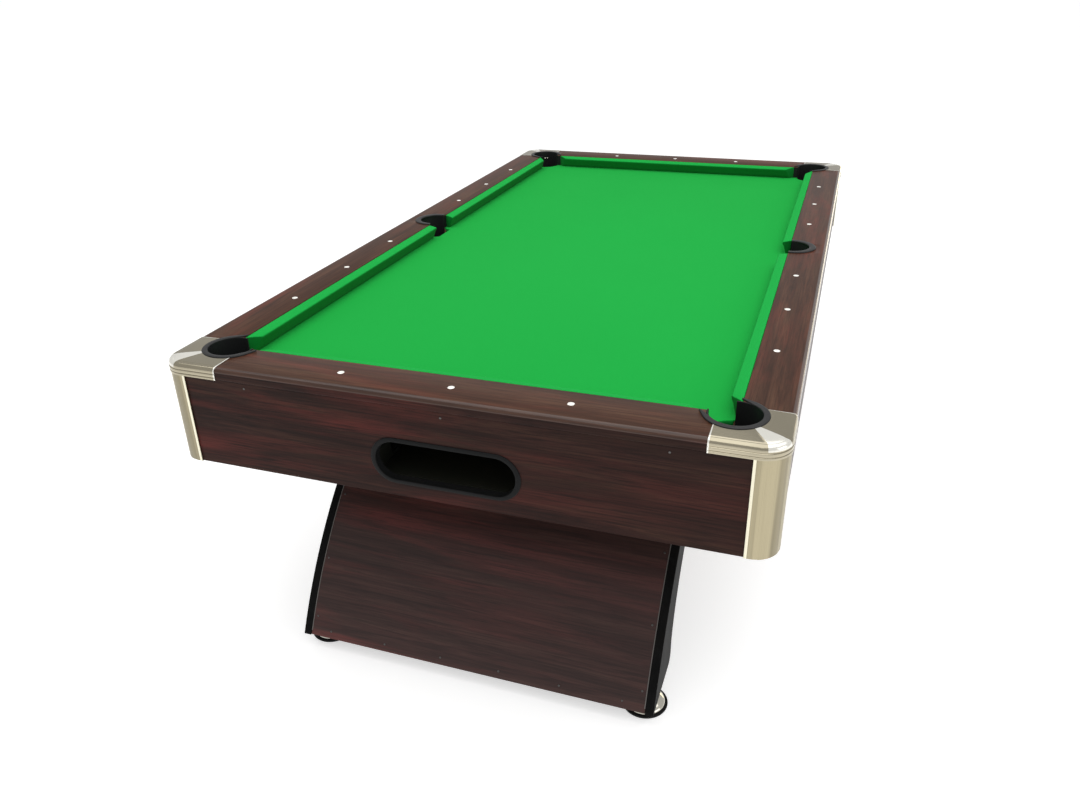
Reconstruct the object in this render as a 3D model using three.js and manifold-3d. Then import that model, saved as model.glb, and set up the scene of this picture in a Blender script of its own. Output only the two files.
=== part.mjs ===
// Pool table with a ball return, standing on two curved pedestals.
// Millimetres, +Z up. The origin is on the floor under the middle of the table.
// +Y runs along the table; the ball return is in the near end, at -Y.
import * as THREE from 'three';
import { mergeVertices } from 'three/addons/utils/BufferGeometryUtils.js';
import Module from 'manifold-3d';

const wasm = await Module();
wasm.setup();

// Overall size.
const WIDTH = 1370;
const LENGTH = 2490;
const HEIGHT = 800;
const SIDE_HEIGHT = 250;
const GAP = 0.3;

// Playing surface.
const PLAY_WIDTH = 1100;
const PLAY_LENGTH = 2200;
const NOSE_ABOVE_BED = 37;
const BED_THICKNESS = 25;
const CLOTH_THICKNESS = 1.2;

// Rails and cushions.
const RIM_ABOVE_RAIL = 3.2;
const RAIL_INSET = 2;
const RAIL_FRONT = 28;
const RAIL_EDGE_RADIUS = 10;
const CUSHION_DEPTH_SIDE = 27;
const CUSHION_DEPTH_END = 26;
const RAIL_FOOT = 32;
const CUSHION_CLEAR = 1.2;
const CUSHION_UNDERCUT = 12;

// Pockets.
const POCKET_RADIUS = 52;
const LINER_WALL = 3;
const RIM_RADIUS = 65;
const CORNER_POCKET_INSET = 115;
const SIDE_POCKET_INSET = 99;
const CORNER_MOUTH_END = 80;
const CORNER_MOUTH_SIDE = 60;
const CORNER_FACING_ANGLE = 39;
const SIDE_MOUTH = 128;
const SIDE_SHELF_X = 552;
const SIDE_LIP_SHIFT = 6;
const LINER_DROP = 88;
const CORNER_TIP_RADIUS = 70;
const CORNER_TIP_ANGLE = 132;
const CORNER_TIP_WIDTH = 4;

// Corner caps and posts.
const CAP_ARM = 150;
const CAP_WALL = 1.7;
const CAP_SKIRT = 30;
const CAP_CORNER_RADIUS = 58;
const CAP_GROOVE = 0.6;
const POST_RADIUS = 56;
const POST_INSET = 2;
const POST_LEG = 64;
const POST_BORE_RADIUS = 8;
const POST_BORE_INSET = 30;

// Aprons and frame.
const APRON_INSET = 6;
const BOARD = 18;
const BEAM = 22;
const BEAM_X = 430;
const BEAM_HALF_LENGTH = 1080;
const CROSS_BOARD_Y = 592;

// Ball return.
const RETURN_DEPTH = 163;
const RETURN_WIDTH = 316;
const RETURN_HEIGHT = 90;
const BEZEL_WALL = 3;
const BEZEL_FLANGE = 12;
const BEZEL_FLANGE_TOP = 10;
const BEZEL_PROUD = 3.5;
const GULLY_X = 585;
const GULLY_WIDTH = 72;
const GULLY_WALL = 4;
const TRAY_HALF_WIDTH = 168;
const TRAY_BACK = 1075;
const TRAY_TOP = 696;
const TRAY_FLOOR_FRONT = 592;
const TRAY_FLOOR_BACK = 602;
const RUN_OUT_FLOOR = 606;
const GULLY_FLOOR_NEAR = 620;
const GULLY_FLOOR_FAR = 650;

// Pedestals.
const PEDESTAL_HALF_WIDTH = 456;
const PEDESTAL_SIDE = 20;
const PEDESTAL_PANEL = 12;
const PEDESTAL_BOTTOM = 40;
const PEDESTAL_HEEL = 25;
const PEDESTAL_BACK_Y = -1005;
const TOP_PLATE_OUTER_Y = -622;
const TOP_PLATE_INNER_Y = -562;
const BASE_PLATE_OUTER_Y = -1168;
const BASE_PLATE_INNER_Y = -1007;
const ARC_RADIUS = 1091;
const ARC_CENTRE_Y = -225;
const ARC_CENTRE_Z = -450;
const BASE_PLATE_BOTTOM = 46;

// Levelling feet.
const FOOT_X = 420;
const FOOT_Y = 1122;
const FOOT_RADIUS = 54;
const DISC_RADIUS = 50;
const HUB_RADIUS = 14;
const STEM_RADIUS = 5.9;
const STEM_TOP = 100;
const PAD_HEIGHT = 6.7;

const railTop = HEIGHT - RIM_ABOVE_RAIL - GAP;
const railBottom = railTop - RAIL_FRONT;
const railHalfWidth = WIDTH / 2 - RAIL_INSET;
const railHalfLength = LENGTH / 2 - RAIL_INSET;
const noseTop = railTop - 5;
const clothTop = noseTop - NOSE_ABOVE_BED;
const bedTop = clothTop - CLOTH_THICKNESS - GAP;
const bedBottom = bedTop - BED_THICKNESS;
const apronBottom = HEIGHT - SIDE_HEIGHT;
const apronTop = railBottom - GAP;
const apronX = WIDTH / 2 - APRON_INSET;
const apronY = LENGTH / 2 - APRON_INSET;
const woodX = PLAY_WIDTH / 2 + CUSHION_DEPTH_SIDE + GAP;
const woodY = PLAY_LENGTH / 2 + CUSHION_DEPTH_END + GAP;
const pocketX = WIDTH / 2 - CORNER_POCKET_INSET;
const pocketY = LENGTH / 2 - CORNER_POCKET_INSET;
const sidePocketX = WIDTH / 2 - SIDE_POCKET_INSET;
const holeRadius = POCKET_RADIUS + LINER_WALL + 0.6;

const table = new THREE.Group();

const finish = {
  mahogany: new THREE.MeshStandardMaterial({ color: 0x45281f, roughness: 0.42, metalness: 0 }),
  cloth: new THREE.MeshStandardMaterial({ color: 0x14a53c, roughness: 0.95, metalness: 0 }),
  nickel: new THREE.MeshStandardMaterial({ color: 0xc2b894, roughness: 0.3, metalness: 0.9 }),
  blackPlastic: new THREE.MeshStandardMaterial({ color: 0x1c1e1d, roughness: 0.45, metalness: 0 }),
  blackBoard: new THREE.MeshStandardMaterial({ color: 0x24221f, roughness: 0.5, metalness: 0 }),
  board: new THREE.MeshStandardMaterial({ color: 0x9a7b55, roughness: 0.8, metalness: 0 }),
  chrome: new THREE.MeshStandardMaterial({ color: 0xd8d2bc, roughness: 0.15, metalness: 1 }),
  rubber: new THREE.MeshStandardMaterial({ color: 0x151515, roughness: 0.85, metalness: 0 }),
};

// ---- Solids ------------------------------------------------------------

function toSolid(geometry) {
  geometry.deleteAttribute('normal');
  geometry.deleteAttribute('uv');
  const merged = mergeVertices(geometry, 1e-4);
  const mesh = new wasm.Mesh({
    numProp: 3,
    vertProperties: new Float32Array(merged.attributes.position.array),
    triVerts: new Uint32Array(merged.index.array),
  });
  return new wasm.Manifold(mesh);
}

function toGeometry(body) {
  const mesh = body.getMesh();
  const geometry = new THREE.BufferGeometry();
  geometry.setAttribute('position', new THREE.BufferAttribute(new Float32Array(mesh.vertProperties), 3));
  geometry.setIndex(new THREE.BufferAttribute(new Uint32Array(mesh.triVerts), 1));
  geometry.computeVertexNormals();
  return geometry;
}

function cut(body, ...tools) {
  return tools.reduce((rest, tool) => rest.subtract(tool), body);
}

function join(body, ...others) {
  return others.reduce((whole, other) => whole.add(other), body);
}

function box(x0, x1, y0, y1, z0, z1) {
  const geometry = new THREE.BoxGeometry(x1 - x0, y1 - y0, z1 - z0);
  return toSolid(geometry.translate((x0 + x1) / 2, (y0 + y1) / 2, (z0 + z1) / 2));
}

function drum(x, y, radius, z0, z1, sides = 32) {
  const geometry = new THREE.CylinderGeometry(radius, radius, z1 - z0, sides);
  return toSolid(geometry.rotateX(Math.PI / 2).translate(x, y, (z0 + z1) / 2));
}

function polygon(points) {
  return new THREE.Shape(points.map(([x, y]) => new THREE.Vector2(x, y)));
}

// A plan outline, standing from z0 to z1.
function plate(shape, z0, z1, curveSegments = 8) {
  const geometry = new THREE.ExtrudeGeometry(shape, { depth: z1 - z0, bevelEnabled: false, curveSegments });
  return toSolid(geometry.translate(0, 0, z0));
}

// A section drawn in (outward, up), run along Y from y0 to y1 with outward = +X.
function lengthAlongY(shape, y0, y1, curveSegments = 4) {
  const geometry = new THREE.ExtrudeGeometry(shape, { depth: y1 - y0, bevelEnabled: false, curveSegments });
  return toSolid(geometry.translate(0, 0, -y1).rotateX(Math.PI / 2));
}

// A section drawn in (y, z), run along X from x0 to x1.
function lengthAlongX(shape, x0, x1, curveSegments = 12) {
  const geometry = new THREE.ExtrudeGeometry(shape, { depth: x1 - x0, bevelEnabled: false, curveSegments });
  geometry.translate(0, 0, x0);
  const toYZ = new THREE.Matrix4().makeBasis(
    new THREE.Vector3(0, 1, 0), new THREE.Vector3(0, 0, 1), new THREE.Vector3(1, 0, 0));
  return toSolid(geometry.applyMatrix4(toYZ));
}

function turned(points, sides) {
  const profile = points.map(([r, z]) => new THREE.Vector2(r, z));
  return toSolid(new THREE.LatheGeometry(profile, sides).rotateX(Math.PI / 2));
}

function place(name, body, material, group = table) {
  const mesh = new THREE.Mesh(toGeometry(body), material);
  mesh.name = name;
  group.add(mesh);
}

function turnedGroup(x, y, quarterTurns) {
  const group = new THREE.Group();
  group.position.set(x, y, 0);
  group.rotation.z = quarterTurns * Math.PI / 2;
  table.add(group);
  return group;
}

// The four corners, with the quarter turns that bring the near right corner to each of them.
const corners = [
  { name: 'near_right', x: 1, y: -1, turns: 0 },
  { name: 'far_right', x: 1, y: 1, turns: 1 },
  { name: 'far_left', x: -1, y: 1, turns: 2 },
  { name: 'near_left', x: -1, y: -1, turns: 3 },
];

// ---- Bed and cloth -----------------------------------------------------

function pocketDrums(z0, z1) {
  const ends = corners.map((corner) => drum(corner.x * pocketX, corner.y * pocketY, holeRadius, z0, z1));
  const sides = [-1, 1].map((side) => drum(side * sidePocketX, 0, holeRadius, z0, z1));
  return [...ends, ...sides];
}

function cornerBlocks(halfWidth, halfLength, z0, z1) {
  const clear = 10;
  return corners.map((corner) => {
    const x = corner.x * (pocketX - clear);
    const y = corner.y * (pocketY - clear);
    const outX = corner.x * (halfWidth + clear);
    const outY = corner.y * (halfLength + clear);
    return box(Math.min(x, outX), Math.max(x, outX), Math.min(y, outY), Math.max(y, outY), z0, z1);
  });
}

// A layer of the bed. It ends in a straight shelf across each side pocket's mouth.
function bedLayer(halfWidth, halfLength, z0, z1) {
  const blank = box(-halfWidth, halfWidth, -halfLength, halfLength, z0, z1);
  const shelf = box(-SIDE_SHELF_X, SIDE_SHELF_X, -holeRadius, holeRadius, z0 - 2, z1 + 2);
  const pockets = pocketDrums(z0 - 1, z1 + 1).map((pocket) => cut(pocket, shelf));
  return cut(blank, ...pockets, ...cornerBlocks(halfWidth, halfLength, z0 - 1, z1 + 1));
}

place('bed_panel', bedLayer(640, 1200, bedBottom, bedTop), finish.board);
const bedCloth = bedLayer(woodX + RAIL_FOOT - 1, woodY + RAIL_FOOT - 1, bedTop + GAP, clothTop);
place('bed_cloth', bedCloth, finish.cloth);

// ---- Rails -------------------------------------------------------------

// Outline of the whole rail frame, seen from above. Its corners are turned down to fit
// inside the rounded shoulder of the corner caps.
function railFrameOutline() {
  const centreX = WIDTH / 2 - CAP_CORNER_RADIUS;
  const centreY = LENGTH / 2 - CAP_CORNER_RADIUS;
  const r = CAP_CORNER_RADIUS - RAIL_INSET - RAIL_EDGE_RADIUS - GAP;
  const outline = new THREE.Shape();
  outline.moveTo(railHalfWidth, -centreY);
  outline.lineTo(railHalfWidth, centreY);
  outline.absarc(centreX, centreY, r, 0, Math.PI / 2);
  outline.lineTo(centreX, railHalfLength);
  outline.lineTo(-centreX, railHalfLength);
  outline.absarc(-centreX, centreY, r, Math.PI / 2, Math.PI);
  outline.lineTo(-railHalfWidth, centreY);
  outline.lineTo(-railHalfWidth, -centreY);
  outline.absarc(-centreX, -centreY, r, Math.PI, 1.5 * Math.PI);
  outline.lineTo(-centreX, -railHalfLength);
  outline.lineTo(centreX, -railHalfLength);
  outline.absarc(centreX, -centreY, r, 1.5 * Math.PI, 2 * Math.PI);
  return outline;
}

// Rail section: a foot over the bed, a flat top and a rounded outer edge.
function railSection(inner, outer) {
  const r = RAIL_EDGE_RADIUS;
  const small = 4;
  const section = new THREE.Shape();
  section.moveTo(inner, clothTop + GAP);
  section.lineTo(inner + RAIL_FOOT, clothTop + GAP);
  section.lineTo(inner + RAIL_FOOT, railBottom);
  section.lineTo(outer - small, railBottom);
  section.absarc(outer - small, railBottom + small, small, -Math.PI / 2, 0);
  section.lineTo(outer, railTop - r);
  section.absarc(outer - r, railTop - r, r, 0, Math.PI / 2);
  section.lineTo(inner, railTop);
  return section;
}

// A rail lies between two 45 degree mitres that run out to the frame's corners.
function mitredRail(inner, outer, halfLength) {
  const depth = outer - inner + 1;
  const reach = halfLength - GAP;
  const plan = polygon([
    [inner - 1, -(reach - depth)], [inner - 1, reach - depth],
    [outer, reach], [outer, -reach],
  ].reverse());
  const bar = lengthAlongY(railSection(inner, outer), -halfLength, halfLength);
  return bar.intersect(plate(plan, clothTop, railTop + 1));
}

const frameBlock = plate(railFrameOutline(), clothTop - 1, railTop + 1, 6);

for (const side of [{ name: 'right', turn: 0 }, { name: 'left', turn: Math.PI }]) {
  const bar = toGeometry(mitredRail(woodX, railHalfWidth, railHalfLength)).rotateZ(side.turn);
  const rail = cut(toSolid(bar).intersect(frameBlock), ...pocketDrums(clothTop - 1, railTop + 1));
  place(`rail_${side.name}`, rail, finish.mahogany);
}

for (const end of [{ name: 'far', turn: Math.PI / 2 }, { name: 'near', turn: -Math.PI / 2 }]) {
  const bar = toGeometry(mitredRail(woodY, railHalfLength, railHalfWidth)).rotateZ(end.turn);
  const rail = cut(toSolid(bar).intersect(frameBlock), ...pocketDrums(clothTop - 1, railTop + 1));
  place(`rail_${end.name}`, rail, finish.mahogany);
}

// ---- Cushions ----------------------------------------------------------

// Section from the nose outward: sloping top, narrow nose, undercut face.
function cushionSection(nose, depth) {
  const foot = clothTop + CUSHION_CLEAR;
  return polygon([
    [nose + CUSHION_UNDERCUT, foot], [nose + depth, foot],
    [nose + depth, railTop - 1], [nose + 4, noseTop + 1], [nose, noseTop - 2],
    [nose + 1.5, noseTop - 7],
  ]);
}

// Plan of one cushion along Y, from yLow to yHigh at the nose, each end cut by its facing.
function cushionPlan(nose, depth, yLow, yHigh, lowSlope, highSlope) {
  const reach = depth + 1;
  return polygon([
    [nose - 1, yLow + lowSlope], [nose + reach, yLow - lowSlope * reach],
    [nose + reach, yHigh + highSlope * reach], [nose - 1, yHigh - highSlope],
  ]);
}

function cushion(nose, depth, yLow, yHigh, lowSlope, highSlope) {
  const bar = lengthAlongY(cushionSection(nose, depth), yLow - 60, yHigh + 60);
  const plan = cushionPlan(nose, depth, yLow, yHigh, lowSlope, highSlope);
  return bar.intersect(plate(plan, clothTop, railTop + 1));
}

const cornerSlope = 1 / Math.tan(CORNER_FACING_ANGLE * Math.PI / 180);
const sideSlope = -0.12;
const endNose = PLAY_WIDTH / 2 - CORNER_MOUTH_END;
const sideNose = PLAY_LENGTH / 2 - CORNER_MOUTH_SIDE;

for (const end of [{ name: 'near', turns: -1 }, { name: 'far', turns: 1 }]) {
  const body = cushion(PLAY_LENGTH / 2, CUSHION_DEPTH_END, -endNose, endNose, cornerSlope, cornerSlope);
  place(`cushion_${end.name}`, body, finish.cloth, turnedGroup(0, 0, end.turns));
}

for (const side of [{ name: 'right', turns: 0 }, { name: 'left', turns: 2 }]) {
  const group = turnedGroup(0, 0, side.turns);
  const nose = PLAY_WIDTH / 2;
  const low = cushion(nose, CUSHION_DEPTH_SIDE, -sideNose, -SIDE_MOUTH / 2, cornerSlope, sideSlope);
  const high = cushion(nose, CUSHION_DEPTH_SIDE, SIDE_MOUTH / 2, sideNose, sideSlope, cornerSlope);
  const [lowName, highName] = side.turns === 0 ? ['near', 'far'] : ['far', 'near'];
  place(`cushion_${side.name}_${lowName}`, low, finish.cloth, group);
  place(`cushion_${side.name}_${highName}`, high, finish.cloth, group);
}

// ---- Pocket liners -----------------------------------------------------

// Flat rim around a pocket: a round lip with two straight legs that run out to narrow tips.
// halfOpening is the angle from the middle of the lip to each tip.
function rimOutline(tipRadius, halfOpening, tipWidth) {
  const middle = -Math.PI / 4;
  const outerStart = halfOpening - Math.acos(RIM_RADIUS / tipRadius);
  const innerTip = tipRadius - tipWidth;
  const innerStart = halfOpening - Math.acos(POCKET_RADIUS / innerTip);
  const at = (radius, angle) => [radius * Math.cos(middle + angle), radius * Math.sin(middle + angle)];
  const outline = new THREE.Shape();
  outline.moveTo(...at(tipRadius, -halfOpening));
  outline.absarc(0, 0, RIM_RADIUS, middle - outerStart, middle + outerStart);
  outline.lineTo(...at(tipRadius, halfOpening));
  outline.lineTo(...at(innerTip, halfOpening));
  outline.absarc(0, 0, POCKET_RADIUS, middle + innerStart, middle - innerStart, true);
  outline.lineTo(...at(innerTip, -halfOpening));
  return outline;
}

// The liner hangs under its rim as a tube, open towards the bed above the bed's underside.
function pocketLiner(rim, mouthPlan) {
  const bottom = HEIGHT - LINER_DROP;
  const tube = cut(
    drum(0, 0, POCKET_RADIUS + LINER_WALL, bottom, HEIGHT - 1),
    drum(0, 0, POCKET_RADIUS, bottom - 1, HEIGHT + 1),
    plate(mouthPlan, bedBottom - 2, HEIGHT + 1),
  );
  return join(tube, plate(rim, railTop + GAP, HEIGHT, 14));
}

const cornerMouth = polygon([
  [-CORNER_TIP_RADIUS, -10], [10, CORNER_TIP_RADIUS], [-CORNER_TIP_RADIUS, CORNER_TIP_RADIUS],
]);
const cornerRim = rimOutline(CORNER_TIP_RADIUS, CORNER_TIP_ANGLE * Math.PI / 180, CORNER_TIP_WIDTH);
const cornerLiner = pocketLiner(cornerRim, cornerMouth);
for (const corner of corners) {
  const group = turnedGroup(corner.x * pocketX, corner.y * pocketY, corner.turns);
  place(`pocket_liner_${corner.name}`, cornerLiner, finish.blackPlastic, group);
}

// The side rim is a crescent: its inner edge is shifted towards the bed.
function sideRimOutline() {
  const back = woodX - sidePocketX;
  const outer = Math.acos(back / RIM_RADIUS);
  const inner = Math.acos((back + SIDE_LIP_SHIFT) / POCKET_RADIUS);
  const outline = new THREE.Shape();
  outline.absarc(0, 0, RIM_RADIUS, -outer, outer);
  outline.absarc(-SIDE_LIP_SHIFT, 0, POCKET_RADIUS, inner, -inner, true);
  return outline;
}

const sideMouthX = woodX - sidePocketX;
const sideMouth = polygon([[-70, -70], [sideMouthX, -70], [sideMouthX, 70], [-70, 70]]);
const sideLiner = pocketLiner(sideRimOutline(), sideMouth);
for (const side of [{ name: 'right', x: 1, turns: 0 }, { name: 'left', x: -1, turns: 2 }]) {
  const group = turnedGroup(side.x * sidePocketX, 0, side.turns);
  place(`pocket_liner_side_${side.name}`, sideLiner, finish.blackPlastic, group);
}

// ---- Corner caps -------------------------------------------------------

// Section of the cap's edge, drawn from the outer face (0) inward and up from the skirt's foot.
// The shoulder is a quarter round with two grooves, over the rounded edge of the rail.
function capSection() {
  const foot = railTop + 2 - CAP_SKIRT;
  const shoulder = RAIL_EDGE_RADIUS + RAIL_INSET;
  const centreZ = railTop - RAIL_EDGE_RADIUS;
  const section = [
    [CAP_WALL, foot], [0, foot], [0, foot + 4],
    [CAP_GROOVE, foot + 5], [CAP_GROOVE, foot + 7], [0, foot + 8],
  ];
  const steps = 8;
  const grooves = [3, 6];
  for (let i = 0; i <= steps; i++) {
    const angle = (i / steps) * Math.PI / 2;
    const r = shoulder - (grooves.includes(i) ? CAP_GROOVE : 0);
    section.push([shoulder - r * Math.cos(angle), centreZ + r * Math.sin(angle)]);
  }
  section.push([shoulder + 3, centreZ + shoulder]);
  section.push([shoulder + 3, railTop + GAP]);
  const innerRadius = RAIL_EDGE_RADIUS + GAP;
  const innerSteps = 4;
  for (let i = innerSteps; i >= 0; i--) {
    const angle = (i / innerSteps) * Math.PI / 2;
    section.push([shoulder - innerRadius * Math.cos(angle), centreZ + innerRadius * Math.sin(angle)]);
  }
  return section;
}

// The cap in the frame of the table's near right corner: the corner point is the origin.
function cornerCap() {
  const section = capSection();
  const r = CAP_CORNER_RADIUS;
  const top = railTop + RAIL_INSET;
  const edge = polygon(section.map(([inward, z]) => [-inward, z]));
  const alongSide = lengthAlongY(edge, r - 0.5, CAP_ARM);
  const alongEnd = toSolid(toGeometry(lengthAlongY(edge, -CAP_ARM, -r + 0.5)).rotateZ(-Math.PI / 2));
  const ring = toSolid(
    new THREE.LatheGeometry([...section, section[0]].map(([inward, z]) => new THREE.Vector2(r - inward, z)), 32)
      .rotateX(Math.PI / 2).translate(-r, r, 0));
  const round = ring.intersect(box(-r, 1, -1, r, 0, HEIGHT));
  const lip = RAIL_EDGE_RADIUS + RAIL_INSET;
  const plan = new THREE.Shape();
  plan.moveTo(-lip, r);
  plan.lineTo(-lip, CAP_ARM);
  plan.lineTo(-CAP_ARM, CAP_ARM);
  plan.lineTo(-CAP_ARM, lip);
  plan.lineTo(-r, lip);
  plan.absarc(-r, r, r - lip, -Math.PI / 2, 0);
  const sheet = plate(plan, railTop + GAP, top, 8);
  const body = join(sheet, alongSide, alongEnd, round);
  const pocket = drum(-CORNER_POCKET_INSET, CORNER_POCKET_INSET, RIM_RADIUS + 0.4, 0, HEIGHT + 1, 40);
  return cut(body, pocket);
}

const cap = cornerCap();
for (const corner of corners) {
  const group = turnedGroup(corner.x * WIDTH / 2, corner.y * LENGTH / 2, corner.turns);
  place(`corner_cap_${corner.name}`, cap, finish.nickel, group);
}

// ---- Corner posts ------------------------------------------------------

// Section of a post in the frame of the near right corner: a rounded skin whose two flanges
// lap over the aprons, and a block between the apron ends, bored for its bolt.
function postSection() {
  const face = POST_INSET;
  const back = APRON_INSET - GAP;
  const apronEnd = face + POST_RADIUS + 1 - GAP;
  const inner = APRON_INSET + BOARD;
  const leg = face + POST_LEG;
  const r = POST_RADIUS;
  const section = new THREE.Shape();
  section.moveTo(-leg, face);
  section.lineTo(-face - r, face);
  section.absarc(-face - r, face + r, r, -Math.PI / 2, 0);
  section.lineTo(-face, leg);
  section.lineTo(-back, leg);
  section.lineTo(-back, apronEnd);
  section.lineTo(-inner, apronEnd);
  section.lineTo(-apronEnd, inner);
  section.lineTo(-apronEnd, back);
  section.lineTo(-leg, back);
  const bolt = new THREE.Path();
  bolt.absarc(-POST_BORE_INSET, POST_BORE_INSET, POST_BORE_RADIUS, 0, 2 * Math.PI);
  section.holes.push(bolt);
  return section;
}

for (const corner of corners) {
  const group = turnedGroup(corner.x * WIDTH / 2, corner.y * LENGTH / 2, corner.turns);
  place(`corner_post_${corner.name}`, plate(postSection(), apronBottom, apronTop, 10), finish.nickel, group);
}

// ---- Aprons ------------------------------------------------------------

function stadium(width, height, centreZ) {
  const r = height / 2;
  const run = width / 2 - r;
  const outline = new THREE.Shape();
  outline.absarc(run, centreZ, r, -Math.PI / 2, Math.PI / 2);
  outline.absarc(-run, centreZ, r, Math.PI / 2, 1.5 * Math.PI);
  return outline;
}

// A stadium drawn in (x, z), standing from y0 to y1.
function stadiumBlock(width, height, y0, y1) {
  const returnZ = HEIGHT - RETURN_DEPTH;
  const geometry = new THREE.ExtrudeGeometry(stadium(width, height, returnZ),
    { depth: y1 - y0, bevelEnabled: false, curveSegments: 12 });
  return toSolid(geometry.translate(0, 0, -y1).rotateX(Math.PI / 2));
}

const postBlock = POST_INSET + POST_RADIUS + 1;
const endApronHalf = WIDTH / 2 - postBlock;
const sideApronHalf = LENGTH / 2 - postBlock;
const sleeveWidth = RETURN_WIDTH + 2 * BEZEL_WALL;
const sleeveHeight = RETURN_HEIGHT + 2 * BEZEL_WALL;

const nearApron = box(-endApronHalf, endApronHalf, -apronY, -apronY + BOARD, apronBottom, apronTop);
const returnHole = stadiumBlock(sleeveWidth + 2 * GAP, sleeveHeight + 2 * GAP,
  -apronY - 5, -apronY + BOARD + 5);
place('apron_near', cut(nearApron, returnHole), finish.mahogany);
const farApron = box(-endApronHalf, endApronHalf, apronY - BOARD, apronY, apronBottom, apronTop);
place('apron_far', farApron, finish.mahogany);
for (const side of [{ name: 'right', x: apronX - BOARD }, { name: 'left', x: -apronX }]) {
  const body = box(side.x, side.x + BOARD, -sideApronHalf, sideApronHalf, apronBottom, apronTop);
  place(`apron_${side.name}`, body, finish.mahogany);
}

// ---- Ball return -------------------------------------------------------

const bezelFlange = stadiumBlock(RETURN_WIDTH + 2 * BEZEL_FLANGE, RETURN_HEIGHT + 2 * BEZEL_FLANGE_TOP,
  -apronY - BEZEL_PROUD, -apronY - GAP);
const bezelSleeve = stadiumBlock(sleeveWidth, sleeveHeight, -apronY - BEZEL_PROUD, -apronY + BOARD - 1);
const bezelHole = stadiumBlock(RETURN_WIDTH, RETURN_HEIGHT, -apronY - 10, -apronY + BOARD + 10);
place('ball_return_bezel', cut(join(bezelFlange, bezelSleeve), bezelHole), finish.blackPlastic);

const trayFront = -apronY + BOARD + GAP;
const gullyTop = HEIGHT - LINER_DROP - 4;
const gullyEndY = LENGTH / 2 - 70;
const runOutY = pocketY;
const halfGully = GULLY_WIDTH / 2;
const halfTrough = halfGully - GULLY_WALL;

const trayBlank = box(-TRAY_HALF_WIDTH, TRAY_HALF_WIDTH, trayFront, -TRAY_BACK,
  TRAY_FLOOR_FRONT - GULLY_WALL, TRAY_TOP);
const trayHollow = lengthAlongX(polygon([
  [trayFront - 1, TRAY_FLOOR_FRONT], [-TRAY_BACK - GULLY_WALL, TRAY_FLOOR_BACK],
  [-TRAY_BACK - GULLY_WALL, TRAY_TOP + 1], [trayFront - 1, TRAY_TOP + 1],
]), -TRAY_HALF_WIDTH + GULLY_WALL, TRAY_HALF_WIDTH - GULLY_WALL);
const trayWindow = box(-TRAY_HALF_WIDTH - 1, TRAY_HALF_WIDTH + 1,
  -runOutY - halfTrough, -runOutY + halfTrough, RUN_OUT_FLOOR - 1, TRAY_TOP + 1);
place('ball_tray', cut(trayBlank, trayHollow, trayWindow), finish.blackPlastic);

// A gully runs down under one long rail, turns at the near pocket and falls to the tray.
function gullyRun(halfWidth, drop, top, farEnd, nearEnd) {
  return lengthAlongX(polygon([
    [-nearEnd, GULLY_FLOOR_NEAR - drop], [farEnd, GULLY_FLOOR_FAR - drop], [farEnd, top], [-nearEnd, top],
  ]), GULLY_X - halfWidth, GULLY_X + halfWidth);
}

function gullyRunOut(halfWidth, drop, top, trayEnd) {
  const section = polygon([
    [trayEnd, RUN_OUT_FLOOR - drop], [GULLY_X + halfWidth, GULLY_FLOOR_NEAR - drop],
    [GULLY_X + halfWidth, top], [trayEnd, top],
  ]);
  return lengthAlongY(section, -runOutY - halfWidth, -runOutY + halfWidth);
}

function mirrored(geometry) {
  geometry.scale(-1, 1, 1);
  const index = geometry.index.array;
  for (let i = 0; i < index.length; i += 3) {
    [index[i], index[i + 1]] = [index[i + 1], index[i]];
  }
  return geometry;
}

const gullyShell = join(
  gullyRun(halfGully, GULLY_WALL, gullyTop, gullyEndY, runOutY + halfGully),
  gullyRunOut(halfGully, GULLY_WALL, gullyTop, TRAY_HALF_WIDTH + 1));
const gully = cut(gullyShell,
  gullyRun(halfTrough, 0, gullyTop + 1, gullyEndY - GULLY_WALL, runOutY + halfTrough),
  gullyRunOut(halfTrough, 0, gullyTop + 1, TRAY_HALF_WIDTH));
place('ball_gully_right', gully, finish.blackPlastic);
place('ball_gully_left', toSolid(mirrored(toGeometry(gully))), finish.blackPlastic);

// ---- Frame under the bed -----------------------------------------------

// Long beams and cross boards are halved into each other.
const beamTop = bedBottom - GAP;
const lapHeight = (apronBottom + beamTop) / 2;
const crossBoardRows = [
  { name: 'near', y: -CROSS_BOARD_Y },
  { name: 'middle', y: 0 },
  { name: 'far', y: CROSS_BOARD_Y },
];

for (const side of [{ name: 'right', x: BEAM_X }, { name: 'left', x: -BEAM_X }]) {
  const beam = box(side.x - BEAM / 2, side.x + BEAM / 2,
    -BEAM_HALF_LENGTH, BEAM_HALF_LENGTH, apronBottom, beamTop);
  const laps = crossBoardRows.map((row) => box(side.x - BEAM, side.x + BEAM,
    row.y - BEAM / 2 - GAP, row.y + BEAM / 2 + GAP, lapHeight - GAP, beamTop + 1));
  place(`frame_beam_${side.name}`, cut(beam, ...laps), finish.board);
}

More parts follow.
